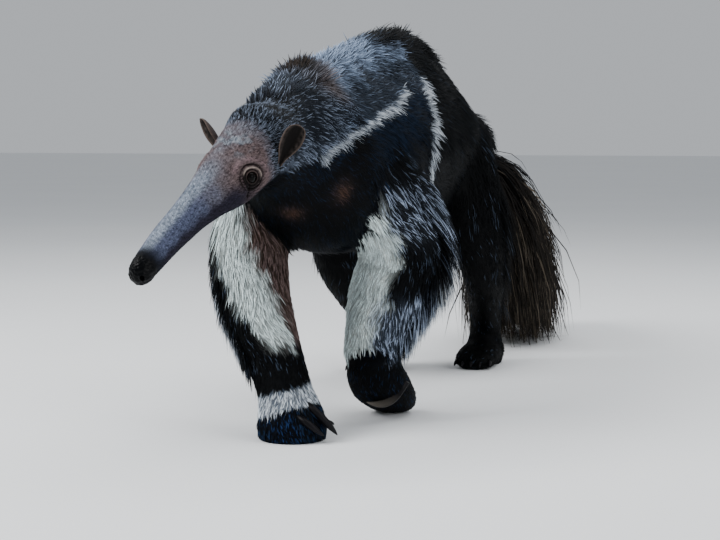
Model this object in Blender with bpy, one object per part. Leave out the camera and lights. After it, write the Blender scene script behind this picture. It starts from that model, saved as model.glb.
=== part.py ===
"""A life-size giant anteater in mid-stride, as a still model.

Units are metres, +Z is up and the animal faces -Y, so its left side is at +X.
It is modelled with its withers above the origin, and moved at the end so that
the middle of its bounding box stands over the origin.
"""

import math
import random

import bmesh
import bpy
import numpy as np
from mathutils import Matrix, Vector
from mathutils.bvhtree import BVHTree

GAP = 0.0003  # between neighbouring nodes
SEED = 11
SPACE = 6.0  # side of a box that stands for all the space past a plane
BODY_VOXEL = 0.0075
HEAD_VOXEL = 0.0026
BODY_SHARE = 0.036  # of the faces that the body keeps
HEAD_SHARE = 0.024

# Head: it turns to the animal's right, looks down and tilts a little.
EYES_MIDDLE = Vector((-0.0232, -0.2388, 0.4319))
HEAD_YAW = math.radians(15)
HEAD_PITCH = math.radians(34)
HEAD_ROLL = math.radians(4)
HEAD_BACK = 0.108  # from the eyes back to the cut at the nape

# Each row of a loft is where its ring sits, its half-width, its reach up and down, and how
# much narrower its top is. The head's rows give the distance ahead of the eyes and the lift.
HEAD_ROWS = (
    (-0.140, -0.010, 0.046, 0.046, 0.050, 0.10),
    (-0.100, 0.002, 0.056, 0.060, 0.062, 0.10),
    (-0.065, 0.001, 0.054, 0.055, 0.057, 0.10),
    (-0.034, 0.001, 0.051, 0.052, 0.054, 0.10),
    (0.000, 0.001, 0.0465, 0.048, 0.051, 0.12),
    (0.030, 0.003, 0.0420, 0.043, 0.045, 0.14),
    (0.063, 0.006, 0.0350, 0.0365, 0.0370, 0.16),
    (0.107, 0.009, 0.0285, 0.0300, 0.0300, 0.14),
    (0.140, 0.010, 0.0260, 0.0275, 0.0270, 0.10),
    (0.178, 0.011, 0.0238, 0.0255, 0.0245, 0.06),
    (0.225, 0.009, 0.0210, 0.0225, 0.0212, 0.04),
    (0.246, 0.007, 0.0192, 0.0208, 0.0192, 0.02),
    (0.255, 0.006, 0.0160, 0.0172, 0.0160, 0.0),
    (0.260, 0.005, 0.0108, 0.0115, 0.0106, 0.0),
    (0.2625, 0.005, 0.0040, 0.0040, 0.0040, 0.0),
)
TRUNK_ROWS = (
    (-0.0166, -0.212, 0.452, 0.044, 0.044, 0.046, 0.10),
    (-0.010, -0.170, 0.466, 0.056, 0.058, 0.060, 0.12),
    (-0.006, -0.115, 0.472, 0.071, 0.088, 0.082, 0.22),
    (-0.003, -0.050, 0.470, 0.094, 0.118, 0.115, 0.36),
    (0.000, 0.030, 0.465, 0.120, 0.143, 0.155, 0.44),
    (0.000, 0.120, 0.458, 0.134, 0.170, 0.172, 0.50),
    (0.000, 0.250, 0.465, 0.136, 0.188, 0.182, 0.58),
    (0.000, 0.400, 0.480, 0.135, 0.200, 0.190, 0.66),
    (0.000, 0.545, 0.490, 0.133, 0.206, 0.190, 0.71),
    (0.003, 0.680, 0.485, 0.126, 0.194, 0.178, 0.72),
    (0.010, 0.780, 0.476, 0.110, 0.150, 0.155, 0.60),
    (0.024, 0.860, 0.470, 0.090, 0.098, 0.118, 0.36),
    (0.040, 0.930, 0.480, 0.062, 0.058, 0.080, 0.10),
    (0.050, 0.985, 0.462, 0.044, 0.042, 0.056, 0.0),
)
# A foreleg's or hind leg's rows give the half-width across and the half-depth front to back.
RIGHT_FORELEG_ROWS = (
    (-0.062, 0.080, 0.540, 0.040, 0.075),
    (-0.082, 0.078, 0.480, 0.052, 0.085),
    (-0.096, 0.072, 0.410, 0.064, 0.085),
    (-0.100, 0.050, 0.335, 0.066, 0.076),
    (-0.092, 0.020, 0.276, 0.066, 0.068),
    (-0.078, 0.000, 0.220, 0.063, 0.062),
    (-0.045, -0.022, 0.150, 0.055, 0.055),
    (-0.023, -0.034, 0.108, 0.050, 0.050),
    (-0.009, -0.042, 0.072, 0.050, 0.052),
    (0.001, -0.049, 0.042, 0.058, 0.058),
    (0.006, -0.052, 0.014, 0.061, 0.060),
    (0.006, -0.052, -0.010, 0.054, 0.054),
)
LEFT_FORELEG_ROWS = (
    (0.060, 0.120, 0.510, 0.045, 0.075),
    (0.088, 0.145, 0.420, 0.066, 0.094),
    (0.108, 0.205, 0.335, 0.076, 0.098),
    (0.108, 0.222, 0.275, 0.078, 0.094),
    (0.092, 0.195, 0.205, 0.072, 0.080),
    (0.084, 0.155, 0.145, 0.059, 0.064),
    (0.082, 0.134, 0.108, 0.053, 0.055),
)
LEFT_FOREPAW_ROWS = (
    (0.086, 0.118, 0.118, 0.042, 0.036, 0.034, 0.0),
    (0.084, 0.148, 0.086, 0.054, 0.040, 0.038, 0.0),
    (0.083, 0.184, 0.058, 0.059, 0.038, 0.034, 0.0),
    (0.082, 0.224, 0.034, 0.056, 0.032, 0.030, 0.0),
    (0.082, 0.256, 0.017, 0.048, 0.024, 0.023, 0.0),
    (0.082, 0.276, 0.008, 0.028, 0.012, 0.012, 0.0),
)
LEFT_HINDLEG_ROWS = (
    (0.060, 0.780, 0.500, 0.055, 0.100),
    (0.090, 0.755, 0.420, 0.062, 0.125),
    (0.108, 0.735, 0.340, 0.060, 0.115),
    (0.118, 0.755, 0.270, 0.054, 0.088),
    (0.112, 0.815, 0.195, 0.047, 0.062),
    (0.098, 0.885, 0.125, 0.042, 0.048),
    (0.090, 0.920, 0.080, 0.040, 0.044),
    (0.087, 0.925, 0.040, 0.044, 0.048),
    (0.087, 0.925, -0.010, 0.042, 0.046),
)
RIGHT_HINDLEG_ROWS = (
    (-0.060, 0.740, 0.500, 0.055, 0.100),
    (-0.094, 0.690, 0.420, 0.064, 0.128),
    (-0.124, 0.630, 0.340, 0.062, 0.118),
    (-0.138, 0.620, 0.270, 0.058, 0.092),
    (-0.132, 0.675, 0.195, 0.050, 0.066),
    (-0.118, 0.745, 0.125, 0.043, 0.050),
    (-0.110, 0.780, 0.080, 0.040, 0.044),
    (-0.108, 0.788, 0.040, 0.044, 0.048),
    (-0.108, 0.788, -0.010, 0.042, 0.046),
)
# Rows of a foot run from heel to toes, from the middle of the sole: half-width, height, depth below.
HINDFOOT_ROWS = (
    (0.055, 0.026, 0.022, 0.020, 0.030),
    (0.035, 0.026, 0.040, 0.034, 0.035),
    (0.000, 0.028, 0.044, 0.036, 0.038),
    (-0.050, 0.024, 0.048, 0.028, 0.034),
    (-0.085, 0.018, 0.046, 0.022, 0.028),
    (-0.106, 0.014, 0.030, 0.014, 0.024),
)
LEFT_HINDFOOT = Vector((0.087, 0.915, 0.0))
RIGHT_HINDFOOT = Vector((-0.108, 0.780, 0.0))
TAIL_ROWS = (
    (0.036, 0.900, 0.460, 0.062, 0.058, 0.085, 0.0),
    (0.050, 0.985, 0.432, 0.044, 0.044, 0.080, 0.0),
    (0.060, 1.080, 0.394, 0.038, 0.042, 0.105, 0.1),
    (0.062, 1.200, 0.346, 0.034, 0.044, 0.120, 0.1),
    (0.056, 1.320, 0.302, 0.029, 0.042, 0.110, 0.1),
    (0.044, 1.430, 0.262, 0.022, 0.036, 0.085, 0.1),
    (0.036, 1.500, 0.236, 0.013, 0.022, 0.045, 0.0),
    (0.032, 1.530, 0.226, 0.005, 0.010, 0.016, 0.0),
)

EYE_RADIUS = 0.0098
EYE_AHEAD = 0.004
EYE_ACROSS = 0.0385
EYE_LIFT = 0.003
EYE_LOOK = Vector((0.30, 0.86, 0.30))  # ahead, outward and up, in the head's own axes
LID_THICKNESS = 0.0032
LID_OPENING = (0.014, 0.0092, 0.0074)  # deep, along the slit and across it
BROW_PLACE = (-0.002, -0.006, 0.016)  # from the eye: ahead, outward and up
BROW_SIZE = (0.010, 0.018, 0.007)
NOSTRIL_PLACE = (0.2545, 0.0078, 0.0070)
NOSTRIL_SIZE = (0.0065, 0.0036, 0.0026)
MOUTH_PLACE = (0.2600, 0, -0.0085)
MOUTH_SIZE = (0.026, 0.024, 0.0010)

# Ears, in the head's own axes: ahead, across and up.
EAR_ROOT = (-0.065, 0.050, -0.012)
EAR_TIP = (-0.088, 0.088, 0.042)
EAR_FACES = (0.867, 0.498, 0.013)
EAR_WIDTH = 0.036
EAR_DEPTH = 0.021
EAR_RIM = 0.0030
EAR_SUNK = 0.008  # of the ear, in its room in the head

# Claws: root, way at the root and at the tip, length and radius, from the first finger out.
RIGHT_FORECLAWS = (
    ((0.050, -0.068, 0.050), (0.80, -0.05, -0.60), (0.23, 0.69, -0.68), 0.062, 0.0085),
    ((0.042, -0.090, 0.036), (0.85, -0.10, -0.50), (0.45, 0.70, -0.60), 0.042, 0.0070),
    ((0.052, -0.030, 0.028), (1.00, 0.35, -0.10), (0.10, 1.00, -0.55), 0.026, 0.0045),
)
LEFT_FORECLAWS = (
    ((0.066, 0.262, 0.018), (0.05, 1.00, -0.15), (0.00, 0.35, 1.00), 0.040, 0.0062),
    ((0.120, 0.163, 0.050), (-0.55, -0.05, -0.83), (-0.95, -0.05, 0.30), 0.072, 0.0080),
    ((0.102, 0.262, 0.018), (0.05, 1.00, -0.15), (0.00, 0.35, 1.00), 0.030, 0.0055),
)
HINDCLAW_LENGTH = 0.024
HINDCLAW_RADIUS = 0.0048
HINDCLAW_SPREAD = 0.034  # from the middle toe to the outer one
HINDCLAW_ROOT = (-0.098, 0.0155)  # the middle toe's, ahead of the foot's place and up
HINDCLAW_SETBACK = 0.012  # of the outer toes

# Cells: the space that each part of the body fills, as boxes of (middle, size, turn). They are
# taken in this order, and an earlier one comes off the later ones.
LIMB_CELLS = {
    "forefoot_right": ((-0.13, -0.12, 0.00), (0.44, 0.39, 0.19), (0, 0, 0)),
    "foreleg_right_lower": ((-0.15, -0.08, 0.165), (0.40, 0.33, 0.1394), (0, 0, 0)),
    "foreleg_right_upper": ((-0.175, 0.00, 0.280), (0.30, 0.36, 0.30), (0, -18, 0)),
    "forefoot_left": ((0.16, 0.28, 0.000), (0.32, 0.40, 0.225), (0, 0, 0)),
    "foreleg_left_lower": ((0.16, 0.29, 0.180), (0.32, 0.40, 0.1344), (0, 0, 0)),
    "foreleg_left_upper": ((0.195, 0.240, 0.300), (0.30, 0.34, 0.30), (0, 21, 0)),
    "hindfoot_left": ((0.17, 0.90, 0.000), (0.30, 0.36, 0.15), (0, 0, 0)),
    "hindleg_left_lower": ((0.17, 0.84, 0.150), (0.30, 0.42, 0.1494), (0, 0, 0)),
    "hindleg_left_upper": ((0.212, 0.77, 0.320), (0.30, 0.34, 0.27), (0, 6, 0)),
    "hindfoot_right": ((-0.17, 0.78, 0.000), (0.30, 0.36, 0.15), (0, 0, 0)),
    "hindleg_right_lower": ((-0.17, 0.70, 0.150), (0.30, 0.44, 0.1494), (0, 0, 0)),
    "hindleg_right_upper": ((-0.212, 0.66, 0.320), (0.30, 0.38, 0.27), (0, -6, 0)),
}
PLANE_CELLS = {
    "tail": (Vector((0.04, 0.945, 0.48)), Vector((0.10, 1, -0.12))),
    "neck": (Vector((0, -0.030, 0.47)), Vector((0, -1, -0.30))),
}
CELL_ORDER = (*LIMB_CELLS, *PLANE_CELLS)
HEAD_ROOM = (0.50, 0.30, 0.19)  # ahead of the nape, across and up

# Long coat: how deep a lock is rooted, how thick it is, and the spacing, width and length of the
# locks of each part. The mane's lengths are given along the back.
FLOOR_CLEARANCE = 0.004
LOCK_SINK = 0.014
LOCK_THICKNESS = 0.010
LONG_LOCK = 0.13  # a longer lock bends in three places, a shorter one in two
MANE_SPACING = 0.064
MANE_WIDTH = 0.040
MANE_LEAN = 0.24  # radians to each side of the top line
MANE_RISE = 0.16
WITHERS_RISE = 0.75
MANE_LENGTHS = ((0.0, 0.3, 0.6, 0.95), (0.045, 0.075, 0.090, 0.110))
FLANK_SPACING = 0.084
FLANK_LEVELS = (-0.85, -0.20)  # radians above the middle line
FLANK_LENGTH = 0.105
FLANK_WIDTH = 0.050
FRINGE_WIDTH = 0.036
TAIL_START = 0.980
TAIL_END = 1.515
TAIL_SPACING = 0.062
TAIL_WIDTH = 0.060
# Each row of the tail's locks: its bearing round the tail in degrees, its length and how it drops.
TAIL_BEARINGS = (
    (-90, 0.21, 1.5),
    (-138, 0.24, 1.5),
    (-42, 0.24, 1.5),
    (-175, 0.29, 1.4),
    (-5, 0.29, 1.4),
    (90, 0.18, 0.5),
)
# Each fringe: node, limb, lowest and highest root, count, bearing, spread, length, how far it hangs out.
FRINGES = (
    ("foreleg_right_upper", RIGHT_FORELEG_ROWS, 0.245, 0.38, 4, 155, 40, 0.060, 0.10),
    ("foreleg_right_lower", RIGHT_FORELEG_ROWS, 0.130, 0.232, 8, 150, 55, 0.060, 0.15),
    ("foreleg_left_upper", LEFT_FORELEG_ROWS, 0.255, 0.36, 8, 30, 40, 0.125, 0.60),
    ("foreleg_left_lower", LEFT_FORELEG_ROWS, 0.130, 0.245, 10, 30, 50, 0.105, 0.55),
    ("hindleg_right_upper", RIGHT_HINDLEG_ROWS, 0.240, 0.38, 5, 140, 50, 0.080, 0.15),
    ("hindleg_left_upper", LEFT_HINDLEG_ROWS, 0.240, 0.38, 5, 40, 50, 0.080, 0.15),
    ("hindleg_right_lower", RIGHT_HINDLEG_ROWS, 0.120, 0.215, 3, 120, 50, 0.050, 0.15),
    ("hindleg_left_lower", LEFT_HINDLEG_ROWS, 0.120, 0.215, 3, 60, 50, 0.050, 0.15),
)

# Each surface: its colour and how rough it is. A node takes the first whose words its name holds.
SURFACES = (
    (("claw",), (0.060, 0.050, 0.055), 0.45),
    (("eye",), (0.012, 0.008, 0.006), 0.05),
    (("ear",), (0.085, 0.062, 0.058), 0.60),
    (("head",), (0.150, 0.125, 0.130), 0.75),
    (("neck",), (0.140, 0.138, 0.145), 0.85),
    (("foreleg",), (0.480, 0.460, 0.410), 0.85),
    (("tail",), (0.060, 0.047, 0.034), 0.85),
    (("",), (0.022, 0.021, 0.026), 0.80),
)


def clear_scene():
    for obj in list(bpy.data.objects):
        bpy.data.objects.remove(obj)


def material(name, colour, roughness):
    made = bpy.data.materials.new(name)
    made.use_nodes = True
    shader = made.node_tree.nodes["Principled BSDF"]
    shader.inputs["Base Color"].default_value = (*colour, 1)
    shader.inputs["Roughness"].default_value = roughness
    shader.inputs["Metallic"].default_value = 0.0
    return made


def object_of(name, bm):
    """A new object in the scene from a bmesh, its faces turned outwards."""
    bmesh.ops.recalc_face_normals(bm, faces=bm.faces)
    if bm.calc_volume(signed=True) < 0:
        bmesh.ops.reverse_faces(bm, faces=bm.faces)
    mesh = bpy.data.meshes.new(name)
    bm.to_mesh(mesh)
    bm.free()
    obj = bpy.data.objects.new(name, mesh)
    bpy.context.scene.collection.objects.link(obj)
    return obj


def head_axes():
    """Ahead, left and up for the head, as unit vectors."""
    ahead = Vector((
        -math.sin(HEAD_YAW) * math.cos(HEAD_PITCH),
        -math.cos(HEAD_YAW) * math.cos(HEAD_PITCH),
        -math.sin(HEAD_PITCH),
    ))
    left = Vector((math.cos(HEAD_YAW), -math.sin(HEAD_YAW), 0))
    left.rotate(Matrix.Rotation(-HEAD_ROLL, 3, ahead))
    return ahead, left, left.cross(-ahead).normalized()


def head_point(forward, across, lift):
    ahead, left, up = head_axes()
    return EYES_MIDDLE + ahead * forward + left * across + up * lift


def head_vector(local):
    ahead, left, up = head_axes()
    return (ahead * local[0] + left * local[1] + up * local[2]).normalized()


def smooth_rows(rows, steps):
    """The rows with new ones between them, on a Catmull-Rom curve through every column."""
    rows = np.array(rows)
    padded = np.vstack((2 * rows[0] - rows[1], rows, 2 * rows[-1] - rows[-2]))
    made = []
    for i in range(1, len(rows)):
        before, start, end, after = padded[i - 1:i + 3]
        for t in np.arange(steps) / steps:
            made.append(0.5 * (
                2 * start
                + (end - before) * t
                + (2 * before - 5 * start + 4 * end - after) * t ** 2
                + (3 * start - before - 3 * end + after) * t ** 3
            ))
    made.append(rows[-1])
    return np.array(made)


def loft(name, rings, sides):
    """A closed tube through rings of (centre, side vector, up vector, down reach, top narrowing)."""
    bm = bmesh.new()
    loops = []
    for centre, side, up, down, narrowing in rings:
        loop = []
        for k in range(sides):
            angle = 2 * math.pi * k / sides
            across = math.cos(angle)
            rise = math.sin(angle)
            if rise > 0:
                across *= 1 - narrowing * rise ** 1.5
            lift = up * rise if rise > 0 else up.normalized() * (down * rise)
            loop.append(bm.verts.new(centre + side * across + lift))
        loops.append(loop)
    for first, second in zip(loops, loops[1:]):
        for k in range(sides):
            j = (k + 1) % sides
            bm.faces.new((first[k], first[j], second[j], second[k]))
    bm.faces.new(loops[0])
    bm.faces.new(loops[-1][::-1])
    return object_of(name, bm)


def spine_rings(rows, steps=4):
    """Rings across a line of (x, y, z, half-width, up, down, narrowing), each upright and square to it."""
    rows = smooth_rows(rows, steps)
    rings = []
    for i, row in enumerate(rows):
        along = Vector(rows[min(i + 1, len(rows) - 1)][:3] - rows[max(i - 1, 0)][:3]).normalized()
        side = along.cross(Vector((0, 0, 1))).normalized()
        up = side.cross(along).normalized()
        rings.append((Vector(row[:3]), side * row[3], up * max(row[4], 0.001), row[5], row[6]))
    return rings


def limb_rings(rows, steps=4):
    """Rings down a limb from (x, y, z, half-width, half-depth), square to it, width across the animal."""
    rows = smooth_rows(rows, steps)
    rings = []
    for i, row in enumerate(rows):
        along = Vector(rows[min(i + 1, len(rows) - 1)][:3] - rows[max(i - 1, 0)][:3]).normalized()
        front = along.cross(Vector((1, 0, 0))).normalized()
        side = front.cross(along).normalized()
        rings.append((Vector(row[:3]), side * row[3], front * row[4], row[4], 0.0))
    return rings


def head_rings():
    ahead, left, up = head_axes()
    return [
        (head_point(row[0], 0, row[1]), left * row[2], up * max(row[3], 0.001), row[4], row[5])
        for row in smooth_rows(HEAD_ROWS, 4)
    ]


def ball(name, centre, radii, axes, rings=12, sides=16):
    """An ellipsoid with its three radii along three unit vectors."""
    bm = bmesh.new()
    bmesh.ops.create_uvsphere(bm, u_segments=sides, v_segments=rings, radius=1)
    frame = Matrix([axes[0] * radii[0], axes[1] * radii[1], axes[2] * radii[2]]).transposed()
    for vert in bm.verts:
        vert.co = frame @ vert.co + centre
    return object_of(name, bm)


def combine(obj, others, operation, solver="EXACT"):
    """One Boolean of obj with a collection of the others, applied, and the others removed."""
    group = bpy.data.collections.new("others")
    for other in others:
        group.objects.link(other)
    modifier = obj.modifiers.new("Boolean", "BOOLEAN")
    modifier.operand_type = "COLLECTION"
    modifier.collection = group
    modifier.operation = operation
    modifier.solver = solver
    apply_modifiers(obj)
    for other in others:
        bpy.data.objects.remove(other)
    bpy.data.collections.remove(group)
    return obj


def cut(obj, other, operation="DIFFERENCE", solver="EXACT"):
    """One Boolean of obj with one other, applied, and the other removed."""
    modifier = obj.modifiers.new("Boolean", "BOOLEAN")
    modifier.object = other
    modifier.operation = operation
    modifier.solver = solver
    apply_modifiers(obj)
    bpy.data.objects.remove(other)
    return obj


def apply_modifiers(obj):
    bpy.context.view_layer.update()
    graph = bpy.context.evaluated_depsgraph_get()
    mesh = bpy.data.meshes.new_from_object(obj.evaluated_get(graph))
    obj.modifiers.clear()
    obj.data = mesh


def remesh(obj, voxel, share, passes):
    """One smooth skin over joined pieces: even voxels, smoothed, then thinned to this share of faces."""
    modifier = obj.modifiers.new("Remesh", "REMESH")
    modifier.mode = "VOXEL"
    modifier.voxel_size = voxel
    modifier = obj.modifiers.new("Smooth", "SMOOTH")
    modifier.factor = 0.5
    modifier.iterations = passes
    modifier = obj.modifiers.new("Decimate", "DECIMATE")
    modifier.ratio = share
    apply_modifiers(obj)
    return obj


def copy_of(obj, name):
    made = bpy.data.objects.new(name, obj.data.copy())
    bpy.context.scene.collection.objects.link(made)
    return made


def box(name, middle, size, turn=(0, 0, 0), grow=0.0):
    """A box of this size about its middle, turned by Euler degrees, each side moved out by grow."""
    bm = bmesh.new()
    bmesh.ops.create_cube(bm, size=1)
    scale = Matrix.Diagonal([s + 2 * grow for s in size]).to_4x4()
    spin = Matrix.Rotation(math.radians(turn[2]), 4, "Z")
    spin = spin @ Matrix.Rotation(math.radians(turn[1]), 4, "Y")
    spin = spin @ Matrix.Rotation(math.radians(turn[0]), 4, "X")
    bm.transform(Matrix.Translation(middle) @ spin @ scale)
    return object_of(name, bm)


def half_space(name, point, inward, grow=0.0):
    """A large box whose one face passes through the point, on the side that inward points to."""
    inward = inward.normalized()
    bm = bmesh.new()
    bmesh.ops.create_cube(bm, size=SPACE)
    turn = inward.to_track_quat("Z", "Y").to_matrix().to_4x4()
    bm.transform(Matrix.Translation(point + inward * (SPACE / 2 - grow)) @ turn)
    return object_of(name, bm)


def cell(name, grow):
    """The space of a part, its sides moved out by grow."""
    if name in LIMB_CELLS:
        return box("cell", *LIMB_CELLS[name], grow)
    return half_space("cell", *PLANE_CELLS[name], grow)


def head_cell(grow):
    """A box square to the head, from the nape forwards."""
    bm = bmesh.new()
    bmesh.ops.create_cube(bm, size=1)
    size = [side + 2 * grow for side in HEAD_ROOM]
    axes = Matrix([axis * side for axis, side in zip(head_axes(), size)]).transposed()
    middle = head_point(HEAD_ROOM[0] / 2 - HEAD_BACK, 0, 0)
    bm.transform(Matrix.Translation(middle) @ axes.to_4x4())
    return object_of("cell", bm)


def hindfoot(place):
    rows = [
        (place.x, place.y + ahead, rise, wide, up, down, 0.0)
        for ahead, rise, wide, up, down in HINDFOOT_ROWS
    ]
    return loft("foot", spine_rings(rows), 16)


def floor_cut(obj):
    """Cut flat at the floor, so that it rests on small flats."""
    return cut(obj, half_space("floor", Vector((0, 0.6, 0)), Vector((0, 0, -1))))


def whole_body():
    """Trunk, tail and limbs joined into one skin."""
    body = loft("body", spine_rings(TRUNK_ROWS), 32)
    pieces = [
        loft("head", head_rings(), 24),
        loft("tail", spine_rings(TAIL_ROWS), 20),
        loft("foreleg", limb_rings(RIGHT_FORELEG_ROWS), 20),
        loft("foreleg", limb_rings(LEFT_FORELEG_ROWS), 20),
        loft("forepaw", spine_rings(LEFT_FOREPAW_ROWS), 16),
        loft("hindleg", limb_rings(LEFT_HINDLEG_ROWS), 20),
        loft("hindleg", limb_rings(RIGHT_HINDLEG_ROWS), 20),
        hindfoot(LEFT_HINDFOOT),
        hindfoot(RIGHT_HINDFOOT),
    ]
    combine(body, pieces, "UNION")
    remesh(body, BODY_VOXEL, BODY_SHARE, 6)
    floor_cut(body)
    return cut(body, head_cell(GAP))


def mirrored(local, side):
    return (local[0], local[1] * side, local[2])


def eye_centre(side):
    return head_point(EYE_AHEAD, EYE_ACROSS * side, EYE_LIFT)


def eye_axes(side):
    """Along the look, along the lid's slit and across it."""
    look = head_vector(mirrored(EYE_LOOK, side))
    slit = head_vector((1, 0, -0.25))
    slit = (slit - look * slit.dot(look)).normalized()
    return look, slit, look.cross(slit)


def eye(name, side, grow=0.0):
    radius = EYE_RADIUS + grow
    return ball(name, eye_centre(side), (radius, radius, radius), eye_axes(side), 9, 12)


def ear_axes(side):
    """Root to tip, the way the cup faces and across the cup."""
    along = (Vector(EAR_TIP) - Vector(EAR_ROOT)).normalized()
    facing = Vector(EAR_FACES)
    facing = facing - along * facing.dot(along)
    along = head_vector(mirrored(along, side))
    facing = head_vector(mirrored(facing, side))
    return along, facing, along.cross(facing)


def ear_shell(name, side, grow):
    """The ear's outer form, from its sunk root to its round tip."""
    along, facing, across = ear_axes(side)
    length = (Vector(EAR_TIP) - Vector(EAR_ROOT)).length
    middle = head_point(*mirrored(EAR_ROOT, side)) + along * ((length - EAR_SUNK) / 2)
    radii = ((length + EAR_SUNK) / 2 + grow, EAR_DEPTH / 2 + grow, EAR_WIDTH / 2 + grow)
    return ball(name, middle, radii, (along, facing, across), 8, 12), middle, radii


def ear(name, side):
    """A thin cup: the outer form less a smaller one moved the way it faces."""
    along, facing, across = ear_axes(side)
    shell, middle, radii = ear_shell(name, side, 0.0)
    radii = [radius - EAR_RIM for radius in radii]
    middle = middle + facing * (EAR_RIM + 0.0042) + along * 0.002
    return cut(shell, ball("cup", middle, radii, (along, facing, across), 8, 12))


def head():
    """Skull and snout in one skin, with lids, sockets, nostrils, the mouth's line and room for the ears."""
    made = loft("head", head_rings(), 40)
    pieces = [loft("nape", spine_rings(TRUNK_ROWS[:5]), 32)]
    lids = []
    for side in (1, -1):
        axes = eye_axes(side)
        lid = EYE_RADIUS + LID_THICKNESS
        lids.append(ball("lid", eye_centre(side), (lid, lid * 1.2, lid * 0.95), axes, 8, 14))
        place = Vector(mirrored(BROW_PLACE, side)) + Vector((EYE_AHEAD, EYE_ACROSS * side, EYE_LIFT))
        pieces.append(ball("brow", head_point(*place), BROW_SIZE, axes))
    combine(made, pieces, "UNION")
    remesh(made, HEAD_VOXEL, HEAD_SHARE, 3)
    combine(made, lids, "UNION")
    cut(made, head_cell(0.0), "INTERSECT")
    cutters = []
    for side in (1, -1):
        axes = eye_axes(side)
        cutters.append(ball("opening", eye_centre(side) + axes[0] * 0.016, LID_OPENING, axes, 8, 14))
        cutters.append(eye("socket", side, GAP))
        cutters.append(ear_shell("ear_room", side, GAP)[0])
        turned = [head_vector(v) for v in ((0.8, 0.6 * side, 0.2), (-0.2, 0, 1), (0.6, -0.8 * side, 0))]
        nostril = head_point(*mirrored(NOSTRIL_PLACE, side))
        cutters.append(ball("nostril", nostril, NOSTRIL_SIZE, turned, 7, 8))
    slot = [head_vector(v) for v in ((1, 0, 0.14), (0, 1, 0), (-0.14, 0, 1))]
    cutters.append(ball("mouth", head_point(*MOUTH_PLACE), MOUTH_SIZE, slot, 6, 20))
    for cutter in cutters:
        cut(made, cutter)
    return made


def claw(name, root, along, curl, length, radius, grow=0.0):
    """A horn that tapers and curves from along towards curl. Its root is sunk a third of its length."""
    along = Vector(along).normalized()
    curl = Vector(curl).normalized()
    rings = []
    for t in (-0.35, 0.0, 0.4, 0.75, 1.0):
        reach = max(t, 0)
        centre = root + along * (length * (t - reach * reach / 2)) + curl * (length * reach * reach / 2)
        way = (along * (1 - reach) + curl * reach).normalized()
        side = way.cross(curl - along).normalized()
        thick = radius * (1 - reach ** 1.8 * 0.9) + grow
        rings.append((centre, side * thick * 0.8, side.cross(way).normalized() * thick, thick, 0.0))
    return loft(name, rings, 5)


def claws():
    """Each claw's name, host and shape: three on a forefoot, curled inwards, and five on a hind foot."""
    made = []
    for side, rows in (("right", RIGHT_FORECLAWS), ("left", LEFT_FORECLAWS)):
        for number, (root, *shape) in enumerate(rows, 1):
            made.append((f"foreclaw_{side}_{number}", f"forefoot_{side}", (Vector(root), *shape)))
    for side, place in (("left", LEFT_HINDFOOT), ("right", RIGHT_HINDFOOT)):
        for number in range(5):
            spread = (number - 2) / 2
            ahead = HINDCLAW_ROOT[0] + HINDCLAW_SETBACK * spread * spread
            root = place + Vector((spread * HINDCLAW_SPREAD, ahead, HINDCLAW_ROOT[1]))
            way = (spread * 0.25, -1, 0.10)
            curl = (spread * 0.1, -0.55, -0.8)
            shape = (root, way, curl, HINDCLAW_LENGTH, HINDCLAW_RADIUS)
            made.append((f"hindclaw_{side}_{number + 1}", f"hindfoot_{side}", shape))
    return made


def skin_tree(obj):
    bm = bmesh.new()
    bm.from_mesh(obj.data)
    tree = BVHTree.FromBMesh(bm)
    bm.free()
    return tree


def outward_hit(tree, inside, way):
    """Where a line from inside the body leaves the skin, and the skin's direction there."""
    hit, normal, _, _ = tree.ray_cast(inside + way * SPACE, -way)
    return hit, normal


def lock(root, normal, start, end, length, width, thickness):
    """A flat, tapered strand, ridged on its outer side, that bends from its start direction to its end one.

    Its root is sunk in under the skin, and its flat side faces the body."""
    sink = LOCK_SINK / length
    bm = bmesh.new()
    loops = []
    stations = ((0.30, 1.0), (0.70, 0.7)) if length > LONG_LOCK else ((0.45, 1.0),)
    for t, share in ((-sink, 0.6), *stations):
        reach = max(t, 0)
        centre = root + start * (length * (t - reach * reach / 2)) + end * (length * reach * reach / 2)
        way = (start * (1 - reach) + end * reach).normalized()
        side = way.cross(normal).normalized() * (width / 2 * share)
        ridge = side.cross(way).normalized() * (thickness * share)
        loops.append([bm.verts.new(centre + offset) for offset in (side, ridge, -side)])
    for first, second in zip(loops, loops[1:]):
        for k in range(3):
            j = (k + 1) % 3
            bm.faces.new((first[k], first[j], second[j]))
            bm.faces.new((first[k], second[j], second[k]))
    tip = bm.verts.new(root + (start + end) * (length / 2))
    for k in range(3):
        bm.faces.new((loops[-1][k], loops[-1][(k + 1) % 3], tip))
    bm.faces.new(loops[0][::-1])
    for vert in bm.verts:
        vert.co.z = max(vert.co.z, FLOOR_CLEARANCE)
    return object_of("lock", bm)


def jitter(amount):
    return Vector([random.uniform(-amount, amount) for _ in range(3)])


def varied(value, share):
    return value * random.uniform(1 - share, 1 + share)


def spine_at(rows, y):
    """The middle line's point at this place along the body."""
    ys = [row[1] for row in rows]
    x, z = (float(np.interp(y, ys, [row[k] for row in rows])) for k in (0, 2))
    return Vector((x, y, z))


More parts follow.
